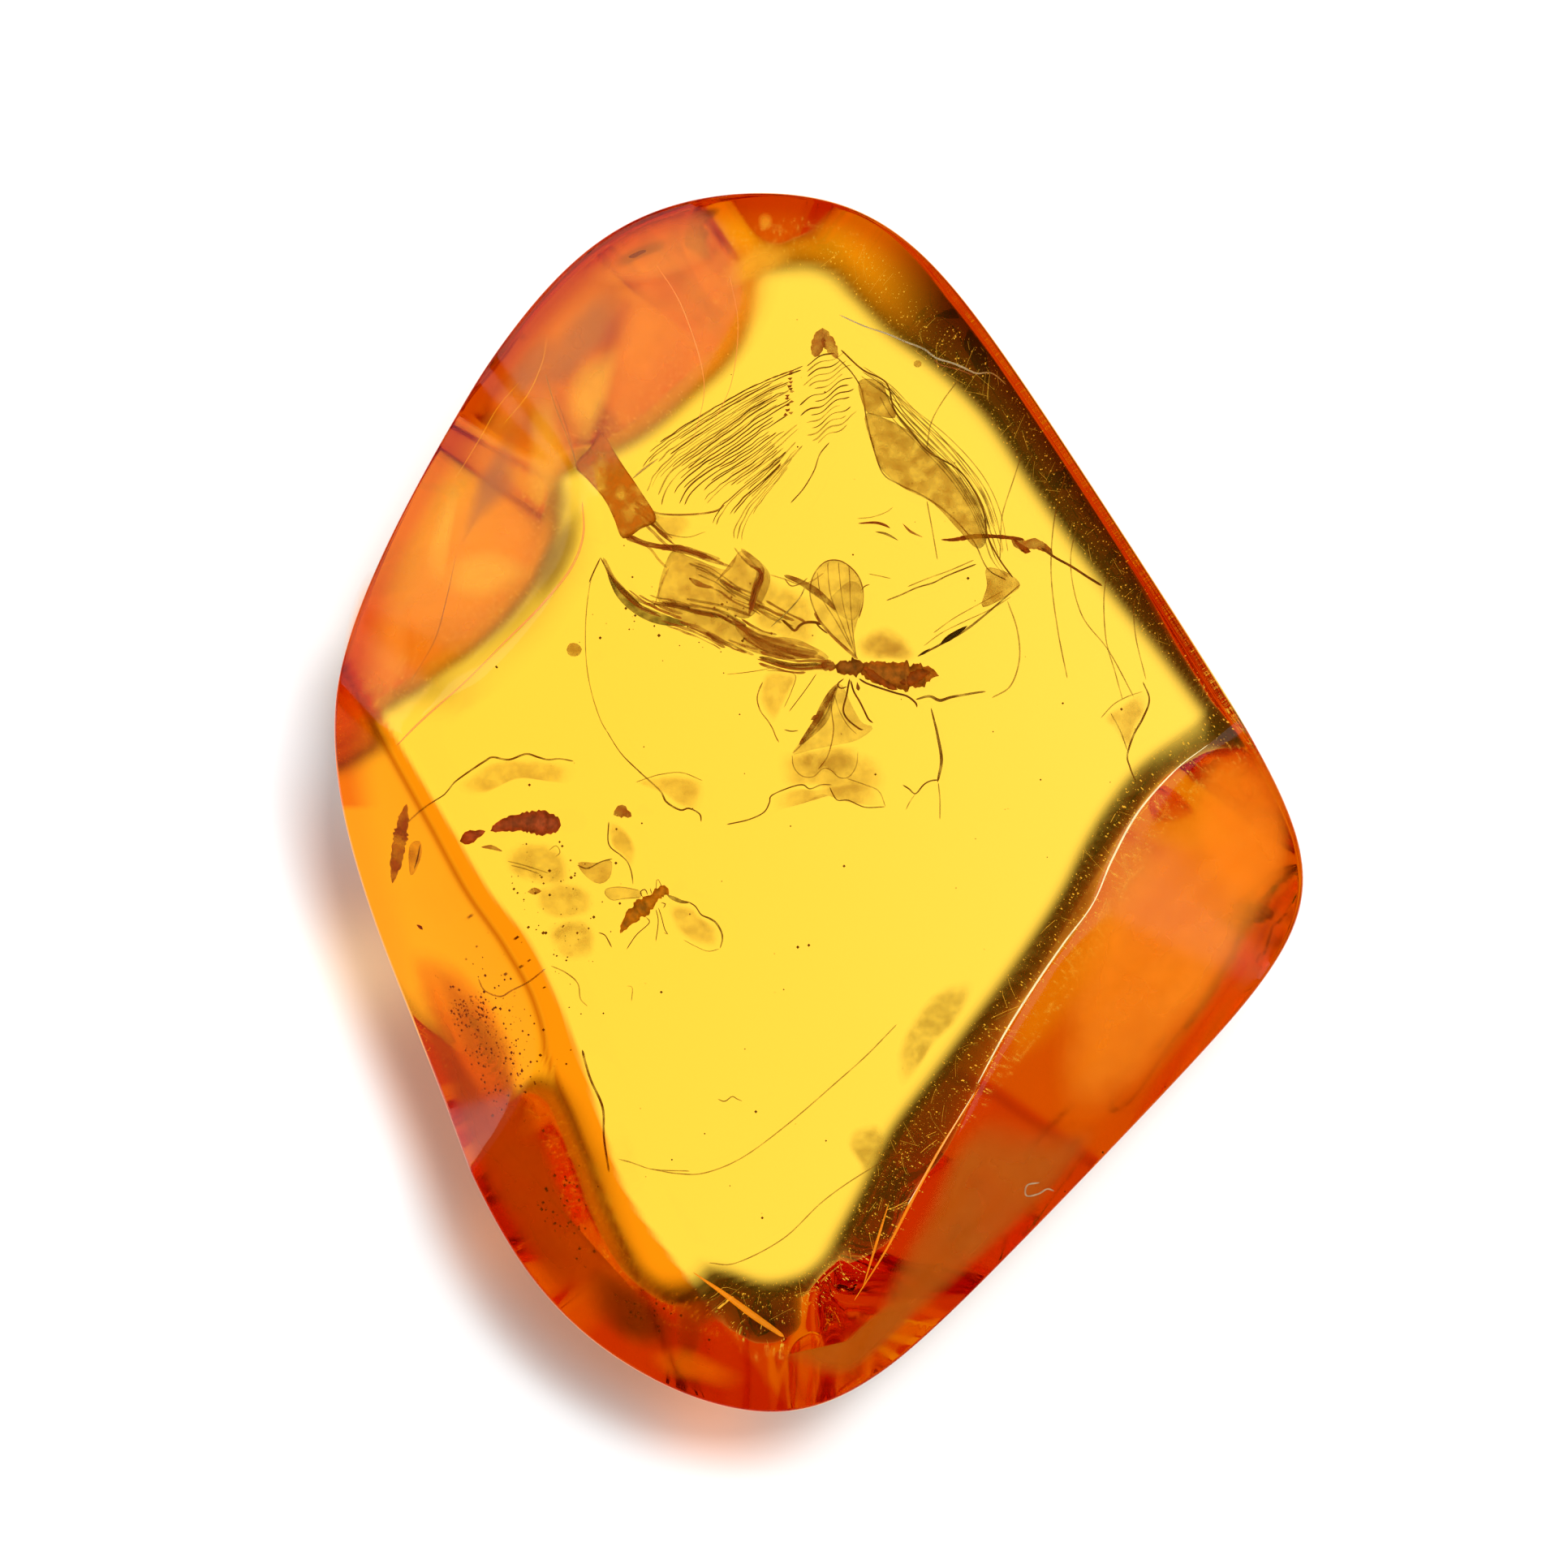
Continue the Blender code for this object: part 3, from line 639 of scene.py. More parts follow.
plantScraps = {
    "bodies": (
        ("barkDark", 3.2, ((1159, 665), (1175, 665), (1200, 661), (1225, 661), (1247, 663), (1262, 665)),
         (1.5, 4, 6, 5, 4.5, 3), 31),
        ("bark", 3.2, ((1246, 664), (1258, 672), (1275, 670), (1290, 677), (1297, 683)), (4, 13, 12, 9, 3),
         32),
        ("barkDark", 3.25, ((1248, 664), (1262, 677), (1270, 680)), (2, 7, 4), 33),
        ("garnet", 2.2, ((604, 1024), (620, 1017), (645, 1013), (668, 1014), (691, 1017)),
         (3, 15, 23, 28, 16), 34),
        ("garnet", 2.3, ((573, 1033), (584, 1029), (598, 1024)), (13, 13, 3), 35),
        ("bark", 2.4, ((594, 1043), (606, 1044), (619, 1049)), (2, 5, 2), 36),
        ("bark", 2.6, ((756, 1004), (766, 1000), (778, 1006)), (7, 15, 6), 37),
        ("bark", 3.8, ((650, 1099), (658, 1098), (667, 1098)), (3, 8, 3), 38),
        ("bark", 1.6, ((511, 985), (505, 1010), (496, 1040), (489, 1065), (484, 1088)), (3, 15, 19, 14, 2),
         39),
        ("barkDark", 1.6, ((514, 1139), (519, 1142), (522, 1145)), (3, 7, 3), 40),
    ),
    "strands": (
        ("limb", 3.0, 3.1, ((1283, 675), (1300, 687), (1320, 698), (1340, 711), (1358, 722))),
        ("fibre", (4, 6, 6, 3), 2.9, ((804, 673), (825, 676), (850, 681), (875, 690), (900, 698))),
        ("fibre", (3, 7, 8, 6, 6, 5), 3.1, ((805, 743), (830, 746), (862, 750), (885, 755), (906, 767),
                                            (935, 786), (973, 797), (1008, 805))),
        ("bark", (2, 7, 5, 2), 3.0, ((849, 712), (858, 718), (868, 722), (880, 724))),
        ("fibre", (4, 9, 6, 3), 2.9, ((913, 676), (936, 700), (930, 725), (923, 758))),
        ("scrap", 3.0, 3.0, ((786, 668), (800, 675), (812, 690), (822, 700))),
        ("vein", 2.2, 3.0, ((770, 655), (785, 668), (800, 672))),
        ("scrap", 2.4, 3.0, ((824, 700), (815, 720), (808, 742))),
        ("scrap", 1.6, 3.0, ((948, 708), (968, 714), (985, 720), (1000, 716), (1015, 706))),
        ("barkDark", (1.4, 4.0, 1.4), 2.6, ((1057, 645), (1078, 644), (1090, 647), (1097, 651))),
        ("crack", (1, 3, 1), 2.7, ((1078, 655), (1092, 658), (1107, 666))),
        ("bark", (1, 3, 1), 2.7, ((1112, 645), (1122, 655), (1137, 662))),
        ("faintCrack", 1.2, 2.7, ((1056, 639), (1075, 637), (1092, 631), (1100, 625))),
        ("crack", 2.0, 1.6, ((528, 1035), (523, 1052), (516, 1068))),
    ),
    "films": (
        ("scrap", 2.95, ((826, 681), (850, 686), (897, 702), (914, 678), (948, 706), (940, 740), (920, 762),
                         (885, 752), (850, 748), (811, 740)), 41),
        ("haze", 2.9, ((924, 700), (960, 716), (1000, 735), (1010, 765), (1000, 800), (960, 790),
                       (925, 770)), 42),
        ("scrap", 3.3, ((808, 744), (850, 752), (890, 762), (930, 785), (975, 800), (1005, 808), (960, 812),
                        (905, 795), (855, 775)), 43),
        ("haze", 3.4, ((783, 964), (808, 956), (840, 954), (868, 966), (862, 997), (840, 996), (815, 978)),
         44),
        ("scrap", 3.8, ((712, 1063), (735, 1063), (753, 1060), (752, 1080), (739, 1089), (722, 1080)), 45),
        ("haze", 3.9, ((750, 1012), (770, 1020), (784, 1045), (780, 1070), (771, 1060), (752, 1041)), 46),
        ("scrap", 1.7, ((512, 1040), (526, 1030), (530, 1045), (520, 1068), (510, 1075)), 47),
    ),
}
cracksAndFilms = {
    "bodies": (),
    "strands": (
        ("crack", (1.6, 3.0, 4.0, 2.0), 2.6, ((1147, 872), (1151, 888), (1155, 905), (1160, 935),
                                              (1157, 955), (1155, 964))),
        ("faintCrack", 1.6, 2.6, ((1156, 964), (1158, 985), (1158, 1010))),
        ("crack", 1.8, 2.7, ((1112, 967), (1120, 972), (1128, 978), (1138, 967), (1147, 962), (1157, 961))),
        ("faintCrack", 1.4, 2.7, ((1128, 978), (1121, 988), (1116, 998))),
        ("crack", 1.6, 3.5, ((895, 1016), (922, 1010), (941, 1001), (948, 989), (951, 980), (974, 970),
                             (989, 967), (998, 972), (1012, 967), (1025, 967))),
        ("crack", 1.4, 3.5, ((1022, 969), (1026, 978), (1032, 986), (1045, 986), (1058, 992), (1069, 995),
                             (1091, 994))),
        ("faintCrack", 1.3, 3.4, ((1043, 959), (1066, 967), (1083, 975), (1091, 994))),
        ("crack", (2, 4, 3, 2), 2.5, ((1128, 862), (1145, 858), (1158, 863), (1172, 859), (1200, 854),
                                      (1215, 852))),
        ("crack", (1, 2.4, 1.6), 3.6, ((747, 900), (765, 928), (788, 951), (813, 974), (821, 988), (838, 998),
                                       (849, 996), (862, 1003), (864, 1013))),
        ("faintCrack", 1.2, 3.6, ((739, 690), (728, 716), (722, 760), (722, 810), (728, 850), (739, 885),
                                  (748, 902))),
        ("faintCrack", 1.2, 3.6, ((783, 964), (800, 958), (815, 954), (840, 952), (866, 962))),
        ("crack", (1.2, 2.4, 2.4, 1.6), 4.4, ((538, 995), (553, 974), (560, 964), (576, 952), (597, 938),
                                              (607, 933), (627, 936), (648, 929), (663, 933), (675, 936),
                                              (690, 935), (707, 938))),
        ("crack", 1.5, 3.9, ((750, 1012), (750, 1040), (765, 1054), (773, 1062), (778, 1075), (780, 1090))),
        ("crack", 1.4, 3.8, ((711, 1066), (724, 1070), (740, 1062), (755, 1058))),
        ("faintCrack", 1.2, 4.0, ((625, 1061), (645, 1066), (664, 1072), (676, 1076))),
        ("faintCrack", 1.2, 4.0, ((629, 1066), (648, 1071), (665, 1077))),
        ("faintCrack", 1.2, 4.0, ((676, 1048), (685, 1042), (690, 1050), (684, 1056))),
        ("crack", 1.5, 3.9, ((737, 1149), (745, 1152), (750, 1160), (754, 1168))),
        ("faintCrack", 1.3, 3.9, ((683, 1188), (699, 1198), (712, 1212), (716, 1230), (724, 1240))),
        ("faintCrack", 1.2, 3.9, ((772, 1215), (779, 1217), (778, 1234))),
        ("crack", 1.3, 3.2, ((884, 1354), (893, 1357), (902, 1351), (908, 1354), (915, 1357))),
        ("faintCrack", 1.5, 4.5, ((800, 1440), (835, 1446), (869, 1445), (915, 1426), (972, 1384),
                                  (1030, 1334), (1068, 1300), (1105, 1262))),
        ("faintCrack", 1.3, 4.5, ((770, 1425), (800, 1440), (850, 1443))),
        ("faintCrack", 1.5, 4.8, ((873, 1556), (907, 1556), (965, 1526), (1014, 1480), (1064, 1445),
                                  (1125, 1411))),
        ("crack", 1.8, 4.6, ((725, 1290), (737, 1325), (752, 1362), (757, 1400), (764, 1440))),
        ("faintCrack", 1.5, 2.4, ((1184, 464), (1161, 495), (1147, 522), (1142, 552))),
        ("faintCrack", 1.5, 2.4, ((1260, 556), (1249, 590), (1236, 630), (1233, 655), (1232, 690))),
        ("faintCrack", 1.5, 2.4, ((1142, 617), (1149, 655), (1155, 690))),
        ("faintCrack", 1.8, 2.6, ((1241, 740), (1253, 775), (1256, 812), (1245, 845), (1222, 860))),
        ("faintCrack", 1.6, 2.4, ((1313, 584), (1299, 640), (1295, 706), (1303, 775), (1315, 836))),
        ("faintCrack", 1.5, 2.2, ((1332, 630), (1319, 691), (1332, 756), (1366, 802), (1397, 859))),
        ("faintCrack", 1.5, 2.2, ((1383, 675), (1362, 718), (1362, 783), (1374, 829), (1383, 862))),
        ("faintCrack", 1.4, 2.0, ((1412, 721), (1398, 740), (1399, 783), (1412, 838))),
        ("crack", (1.6, 2.6, 2.2, 1.6), 3.0, ((1408, 840), (1416, 862), (1408, 885), (1397, 905), (1389, 930),
                                              (1392, 945), (1399, 963))),
        ("faintCrack", 1.4, 3.0, ((1356, 885), (1372, 868), (1390, 858), (1408, 852))),
        ("faintCrack", 1.4, 3.0, ((1368, 878), (1380, 900), (1389, 925))),
        ("hair", (1.4, 2.6, 2.6, 1.4), 0.5, ((1034, 388), (1065, 402), (1092, 411), (1115, 421),
                                             (1138, 430), (1153, 441), (1172, 447), (1187, 453),
                                             (1203, 460), (1222, 460), (1240, 474))),
        ("bark", 1.6, 0.7, ((1150, 443), (1160, 450), (1180, 455), (1200, 463))),
        ("hair", 2.0, 0.4, ((589, 1206), (597, 1221), (617, 1228), (632, 1220), (653, 1209), (673, 1193))),
        ("hair", 2.0, 0.3, ((1282, 1459), (1266, 1462), (1265, 1475), (1280, 1473), (1291, 1467),
                            (1300, 1470))),
        ("glint", (1, 2.2, 1), 2.6, ((949, 773), (968, 756), (985, 737), (992, 723))),
        ("glint", (1, 2.6, 1), 2.2, ((780, 592), (794, 580), (813, 566))),
    ),
    "films": (
        ("haze", 3.5, ((956, 998), (953, 982), (975, 971), (1000, 972), (1025, 968), (1060, 965), (1083, 975),
                       (1090, 993), (1060, 992), (1033, 985), (1010, 978), (985, 990)), 61),
        ("haze", 3.3, ((958, 930), (985, 925), (1060, 925), (1091, 945), (1088, 980), (1045, 985),
                       (1000, 970), (965, 968)), 62),
        ("haze", 4.5, ((560, 970), (600, 940), (650, 935), (705, 942), (700, 965), (640, 960), (590, 980)),
         63),
        ("milk", 4.1, ((620, 1050), (655, 1035), (690, 1045), (705, 1080), (690, 1095), (650, 1088),
                       (625, 1075)), 64),
        ("milk", 4.0, ((660, 1095), (700, 1085), (730, 1100), (728, 1125), (690, 1135), (662, 1120)), 65),
        ("milk", 3.9, ((675, 1140), (715, 1130), (735, 1150), (730, 1178), (700, 1185), (680, 1165)), 66),
        ("haze", 3.0, ((1358, 885), (1380, 868), (1408, 850), (1414, 870), (1400, 900), (1390, 925),
                       (1372, 900)), 67),
        ("pale", 3.8, ((1103, 1320), (1108, 1285), (1130, 1245), (1160, 1215), (1197, 1207), (1200, 1225),
                           (1180, 1260), (1150, 1290), (1130, 1322), (1112, 1340)), 68),
        ("pale", 3.9, ((1043, 1410), (1052, 1390), (1080, 1383), (1092, 1400), (1088, 1425), (1068, 1447),
                           (1055, 1432)), 69),
        ("crescent", 3.0, ((698, 801), (702, 793), (711, 793), (717, 800), (712, 808), (702, 808)), 70),
        ("crescent", 2.6, ((1126, 446), (1132, 444), (1136, 449), (1131, 453), (1126, 451)), 71),
    ),
}
bigFracture = {
    "bodies": (
        ("bark", 2.2, ((1004, 440), (1008, 424), (1014, 413), (1024, 428), (1032, 442)),
         (10, 15, 15, 14, 5), 81),
    ),
    "strands": (
        ("ripple", 2.0, 2.3, ((1036, 431), (1062, 455), (1092, 472), (1102, 505), (1125, 535), (1143, 556),
                              (1184, 582), (1210, 625), (1217, 661), (1232, 690), (1248, 712))),
        ("faintCrack", 1.4, 2.3, ((1068, 470), (1100, 492), (1135, 520), (1180, 560), (1212, 600),
                                  (1228, 640), (1236, 680))),
        ("faintCrack", 1.2, 2.3, ((1080, 470), (1120, 500), (1170, 540), (1210, 585), (1232, 630),
                                  (1242, 680))),
        ("crack", 1.6, 2.6, ((1031, 440), (1050, 460), (1062, 482), (1067, 513), (1074, 543), (1087, 582),
                             (1108, 597), (1130, 607), (1152, 620), (1174, 638), (1190, 655), (1202, 671),
                             (1217, 701), (1240, 715))),
        ("crack", (1.5, 2.5, 3, 2), 3.2, ((1256, 721), (1232, 742), (1207, 763), (1187, 778), (1157, 795),
                                          (1130, 809))),
        ("black", (1.5, 7, 6, 1.5), 3.1, ((1158, 794), (1168, 787), (1180, 779), (1192, 771))),
        ("black", (1, 3.5, 1), 3.2, ((1131, 808), (1139, 804), (1146, 799))),
        ("faintCrack", 1.3, 3.1, ((1246, 735), (1222, 750), (1190, 765), (1160, 780), (1138, 796))),
        ("faintCrack", 1.3, 3.1, ((1236, 728), (1205, 745), (1175, 762), (1150, 780))),
        ("crack", 1.8, 2.9, ((1092, 740), (1110, 733), (1130, 724), (1150, 718), (1168, 709), (1203, 695))),
        ("faintCrack", 1.4, 2.9, ((1118, 723), (1145, 712), (1170, 703), (1200, 690))),
        ("faintCrack", 1.2, 2.9, ((1070, 707), (1085, 710), (1098, 713))),
        ("crack", 1.5, 2.6, ((1022, 545), (1010, 560), (1003, 580), (990, 602), (974, 620))),
        ("vein", 2.4, 2.8, ((782, 618), (798, 628), (816, 634), (851, 634), (881, 630), (893, 622))),
        ("crack", 1.6, 3.2, ((740, 687), (733, 702), (726, 718))),
        ("crack", 1.6, 3.2, ((740, 687), (751, 708), (764, 728), (785, 746), (805, 755))),
        ("faintCrack", 1.2, 2.6, ((792, 640), (815, 655), (845, 662), (870, 655))),
    ),
    "films": (
        ("crescent", 2.5, ((1066, 510), (1096, 518), (1122, 533), (1149, 556), (1184, 590), (1207, 625),
                           (1216, 662), (1204, 676), (1180, 652), (1149, 620), (1111, 600), (1086, 578),
                           (1074, 548)), 82),
        ("crescent", 2.45, ((1058, 470), (1085, 470), (1094, 490), (1104, 514), (1080, 512), (1066, 505)),
         83),
        ("crescent", 3.0, ((1215, 700), (1240, 705), (1257, 721), (1240, 735), (1210, 748), (1216, 722)), 84),
        ("olive", 3.2, ((748, 705), (765, 728), (790, 745), (815, 756), (850, 770), (815, 770), (785, 758),
                        (760, 735)), 85),
        ("rust", 2.4, ((713, 575), (728, 556), (744, 536), (757, 556), (771, 578), (790, 606), (809, 640),
                       (790, 652), (768, 664), (757, 640), (746, 618), (728, 594)), 86),
        ("haze", 2.6, ((782, 618), (815, 635), (850, 636), (850, 655), (830, 670), (805, 655)), 87),
    ),
}
# the stepped lines of the fracture lie between these guide lines, and the wavy ones beside the apex
fanRipples = {
    "guides": (
        ((990, 450), (947, 467), (904, 489), (866, 512), (829, 536), (796, 562), (782, 588)),
        ((973, 481), (933, 503), (895, 532), (857, 560), (829, 582), (815, 603), (810, 620)),
        ((980, 517), (947, 540), (914, 564), (881, 583), (858, 601), (846, 616), (841, 632)),
        ((987, 536), (966, 559), (942, 580), (914, 602), (892, 622), (880, 640), (876, 655)),
        ((989, 555), (972, 575), (952, 600), (935, 622), (925, 640), (920, 655), (918, 668)),
    ),
    "count": 40, "depth": 2.4, "width": 1.3, "wavy": 15,
}


def rippleStrands():
    rng = np.random.default_rng(5)
    guides = np.array(fanRipples["guides"], float)
    strands = []
    for share in np.linspace(0.0, 1.0, fanRipples["count"]):
        place = share ** 1.1 * (len(guides) - 1)
        before = min(int(place), len(guides) - 2)
        line = guides[before] + (guides[before + 1] - guides[before]) * (place - before)
        line = resampled(line, 9.0)
        line += rng.normal(scale=(0.35, 0.35), size=line.shape) + np.array((0.0, rng.normal(scale=0.5)))
        first, last = rng.integers(0, 5), len(line) - rng.integers(0, 9)
        tone = "ripple" if rng.random() < 0.75 - 0.4 * share else "faintCrack"
        width = fanRipples["width"] * rng.uniform(0.5, 1.5, 6)
        strands.append((tone, tuple(width), fanRipples["depth"] + 0.4 * share, line[first:last]))
    for index in range(fanRipples["wavy"]):
        x = np.linspace(982.0, 1046.0 + 1.4 * index, 12)
        y = 455.0 + 7.2 * index - 0.48 * (x - 982.0) + 2.6 * np.sin(x / 6.5 + 0.35 * index)
        x = x - 0.9 * index * (x - 982.0) / 64.0 + 0.5 * index
        first = rng.integers(0, 4)
        strands.append(("ripple" if rng.random() < 0.6 else "faintCrack", tuple(rng.uniform(0.7, 2.2, 5)),
                        2.4, np.stack([x, y], axis=1)[first:12 - rng.integers(0, 4)]))
    for index in range(14):  # beads of resin where the lines begin
        x, y = 973.0 + rng.normal(scale=2.5), 458.0 + index * 4.2
        strands.append(("barkDark" if index % 3 else "bark", (2.0, 4.2, 2.0), 2.35,
                        ((x - 3.0, y), (x, y + rng.normal()), (x + 3.0, y - 1.0))))
    return strands


crescentLines = {  # the fine lines along the outer side of the crescent lie between these two
    "inner": ((1058, 466), (1085, 489), (1101, 515), (1130, 545), (1165, 583), (1192, 622), (1208, 655),
              (1222, 690), (1240, 712)),
    "outer": ((1064, 452), (1098, 474), (1122, 500), (1156, 534), (1190, 570), (1214, 610), (1229, 648),
              (1238, 680), (1254, 716)),
    "count": 11,
}


def crescentStrands():
    rng = np.random.default_rng(8)
    inner, outer = np.array(crescentLines["inner"], float), np.array(crescentLines["outer"], float)
    strands = []
    for share in np.linspace(0.0, 1.0, crescentLines["count"]):
        line = inner + (outer - inner) * share + rng.normal(scale=0.8, size=inner.shape)
        first = rng.integers(0, 3)
        strands.append(("crack" if rng.random() < 0.35 else "faintCrack", tuple(rng.uniform(0.7, 1.8, 5)),
                        2.4, line[first:len(line) - rng.integers(0, 3)]))
    return strands


fibreBands = (  # reddish plant fibres: number, spread across, depth and the line that they follow
    (17, 13, 3.1, ((800, 737), (830, 744), (862, 752), (885, 757), (906, 768), (935, 786), (973, 798),
                   (1012, 806))),
    (8, 7, 2.9, ((772, 662), (801, 673), (832, 674), (862, 682), (900, 697))),
    (7, 9, 3.0, ((800, 755), (830, 765), (862, 776), (890, 790), (925, 804), (960, 812))),
    (8, 9, 3.0, ((935, 812), (962, 820), (984, 823), (1006, 822), (1024, 820))),
    (7, 8, 2.9, ((906, 672), (920, 690), (938, 705), (930, 728), (922, 758))),
    (6, 22, 2.9, ((826, 690), (850, 700), (880, 712), (905, 730), (935, 745), (960, 768))),
    (6, 26, 3.0, ((840, 730), (880, 738), (920, 750), (960, 770), (1000, 790))),
    (5, 12, 2.8, ((782, 625), (800, 640), (815, 655), (830, 668))),
    (6, 10, 2.9, ((745, 690), (765, 722), (790, 742), (822, 757), (850, 766))),
)


def fibreStrands():  # short lengths of each line, pushed to one side and roughened
    rng = np.random.default_rng(12)
    strands = []
    for count, spread, depth, points in fibreBands:
        line = resampled(points, 8.0)
        for _ in range(count):
            length = rng.integers(6, 14)
            first = rng.integers(0, max(len(line) - length, 1))
            piece = line[first:first + length] + rng.normal(scale=(1.5, spread / 2.6))
            piece = piece + np.cumsum(rng.normal(scale=0.5, size=piece.shape), axis=0)
            strands.append((("fibre", "bark", "faintVein")[rng.integers(0, 3)],
                            tuple(rng.uniform(0.9, 4.4, 4)), depth + rng.normal(scale=0.08), piece))
    return strands


paintedLightAndShadeSheets = {  # where the ground bevels look cloudy: glowing sheets and lines of painted light, and darker ones of painted shade
    "bodies": (),
    "strands": (
        ("salmon", (1.2, 2.6, 3.0, 2.6, 2.2, 1.6, 2.4, 1.4), 0.35,
         ((718, 618), (719, 660), (703, 702), (664, 750), (622, 792), (574, 840), (520, 888), (490, 918))),
        ("sunny", (0.6, 1.4, 0.6), 0.7, ((674, 412), (668, 446), (650, 486), (622, 520))),
        ("sunny", (0.5, 1.2, 0.5), 0.7, ((560, 588), (590, 540), (614, 500), (640, 470))),
        ("smokyShade", (0.6, 1.6, 0.6), 0.8, ((712, 575), (700, 530), (684, 486))),
        ("smokyShade", (0.5, 1.6, 0.8), 0.8, ((562, 683), (550, 740), (536, 790), (508, 840))),
        ("salmon", (0.5, 1.4, 0.5), 0.6, ((806, 320), (842, 380), (868, 470), (856, 540))),
        ("salmon", (0.5, 1.0, 0.5), 0.6, ((900, 340), (910, 400), (902, 470), (880, 520))),
    ),
    "films": (
        ("smokyShade", 0.9, ((658, 444), (700, 384), (754, 342), (778, 360), (772, 408), (736, 444), (688, 492),
                        (640, 498)), 111),
        ("smokyShade", 0.9, ((616, 474), (640, 432), (676, 402), (694, 420), (664, 474), (634, 504)), 112),
        ("smokyShade", 1.0, ((580, 600), (628, 516), (646, 522), (646, 600), (628, 618), (580, 660), (562, 683)),
         113),
        ("sunny", 0.8, ((712, 444), (766, 414), (760, 480), (736, 540), (718, 564), (688, 504)), 114),
        ("sunny", 0.8, ((652, 492), (682, 480), (706, 552), (700, 588), (664, 636), (646, 600), (649, 540)),
         115),
        ("sunny", 0.8, ((526, 660), (556, 588), (568, 600), (559, 660), (544, 732), (520, 708)), 116),
        ("sunny", 0.8, ((548, 686), (610, 672), (664, 700), (640, 728), (598, 745), (545, 732)), 117),
        ("cloudyGlow", 0.6, ((416, 900), (422, 780), (452, 700), (500, 740), (505, 830), (462, 905)), 125),
        ("cloudyGlow", 0.6, ((720, 345), (756, 290), (830, 258), (884, 258), (880, 320), (800, 350)), 126),
        ("umber", 0.7, ((652, 726), (670, 672), (718, 618), (721, 660), (700, 714), (664, 756)), 118),
        ("paintedDark", 0.7, ((752, 322), (784, 302), (822, 292), (826, 304), (792, 318), (764, 330)), 119),
        ("paintedDark", 0.7, ((836, 274), (860, 258), (890, 254), (884, 268), (856, 282)), 120),
        ("sunny", 0.7, ((934, 266), (944, 260), (954, 268), (950, 284), (936, 284)), 121),
        ("sunny", 0.8, ((890, 330), (940, 296), (985, 306), (975, 330), (930, 350), (895, 360)), 122),
        ("sunny", 1.6, ((798, 1668), (835, 1652), (880, 1664), (925, 1690), (905, 1712), (860, 1704),
                        (815, 1694)), 123),
        ("paintedDark", 2.0, ((725, 1550), (790, 1575), (850, 1630), (840, 1665), (780, 1662), (725, 1615)), 124),
        ("cloudyGlow", 0.8, ((500, 1170), (560, 1180), (625, 1255), (650, 1340), (605, 1375), (550, 1300),
                         (512, 1240)), 127),
        ("umber", 0.7, ((530, 1190), (575, 1215), (640, 1290), (640, 1360), (600, 1350), (560, 1290)), 128),
        ("cloudyGlow", 1.2, ((770, 330), (860, 290), (960, 290), (965, 350), (930, 430), (860, 500), (780, 560),
                         (730, 560), (735, 440)), 101),
        ("cloudyGlow", 1.4, ((640, 420), (740, 330), (760, 420), (735, 540), (680, 620), (600, 640),
                         (570, 570)), 102),
        ("cloudyGlow", 1.6, ((560, 600), (660, 600), (700, 660), (640, 760), (540, 850), (470, 860),
                         (470, 740)), 103),
        ("cloudyGlow", 1.6, ((1330, 1130), (1440, 990), (1540, 920), (1590, 1020), (1560, 1150), (1470, 1280),
                         (1370, 1380), (1300, 1380), (1290, 1250)), 104),
        ("cloudyGlow", 1.8, ((1480, 920), (1560, 930), (1595, 1010), (1585, 1100), (1520, 1120), (1460, 1020)),
         105),
        ("cloudyShade", 1.8, ((1200, 1370), (1290, 1380), (1360, 1390), (1290, 1480), (1190, 1570),
                             (1110, 1640), (1050, 1680), (1090, 1570), (1130, 1490)), 106),
        ("cloudyShade", 2.6, ((500, 1230), (570, 1220), (640, 1290), (690, 1420), (740, 1540), (810, 1610),
                             (800, 1645), (700, 1605), (620, 1490), (560, 1370)), 107),
        ("cloudyShade", 2.4, ((960, 1660), (1020, 1655), (1090, 1600), (1140, 1590), (1090, 1650),
                             (1030, 1690)), 108),
    ),
}
ridgeGlints = (  # painted highlights: bright and orange lines along the ridges, and a faint crack line: tone, width, depth and points
    ("glint", (0.6, 1.8, 2.6, 1.4, 2.2, 2.6, 1.0), 0.4, ((1488, 917), (1447, 949), (1402, 1000),
                                                         (1370, 1058), (1346, 1113), (1310, 1162),
                                                         (1275, 1213), (1238, 1272), (1204, 1335))),
    ("rust", (1.0, 2.6, 3.6, 2.4, 1.0), 0.4, ((1206, 1340), (1162, 1408), (1124, 1477), (1090, 1542),
                                              (1052, 1602))),
    ("glint", (0.6, 1.6, 1.0), 0.4, ((1200, 1346), (1160, 1412), (1118, 1484))),
    ("rust", (1.0, 5.0, 8.0, 4.0), 0.6, ((855, 1567), (890, 1592), (930, 1622), (966, 1646))),
    ("rust", (1.0, 3.0, 1.0), 0.5, ((1095, 1482), (1080, 1530), (1062, 1588))),
    ("faintCrack", (0.8, 1.6, 0.8), 0.5, ((712, 576), (700, 540), (684, 500), (672, 460))),
)


specks = {
    "dust": 8000, "scratches": 380, "dark": 90,
    "gaps": (0.08, 1.0), "inset": 0.2,  # mm of gap under them, and how far they stay inside the outline
    # peppered patches: grains, depth, the place on the drawing and how far they spread across and down
    "patches": ((420, 1.0, (600, 1300), (36, 46)), (160, 1.0, (575, 1250), (20, 16)),
                (260, 0.9, (770, 1640), (34, 26)), (120, 1.0, (690, 1500), (20, 40)),
                (90, 3.0, (690, 1120), (34, 46)), (70, 3.0, (860, 760), (60, 26))),
}


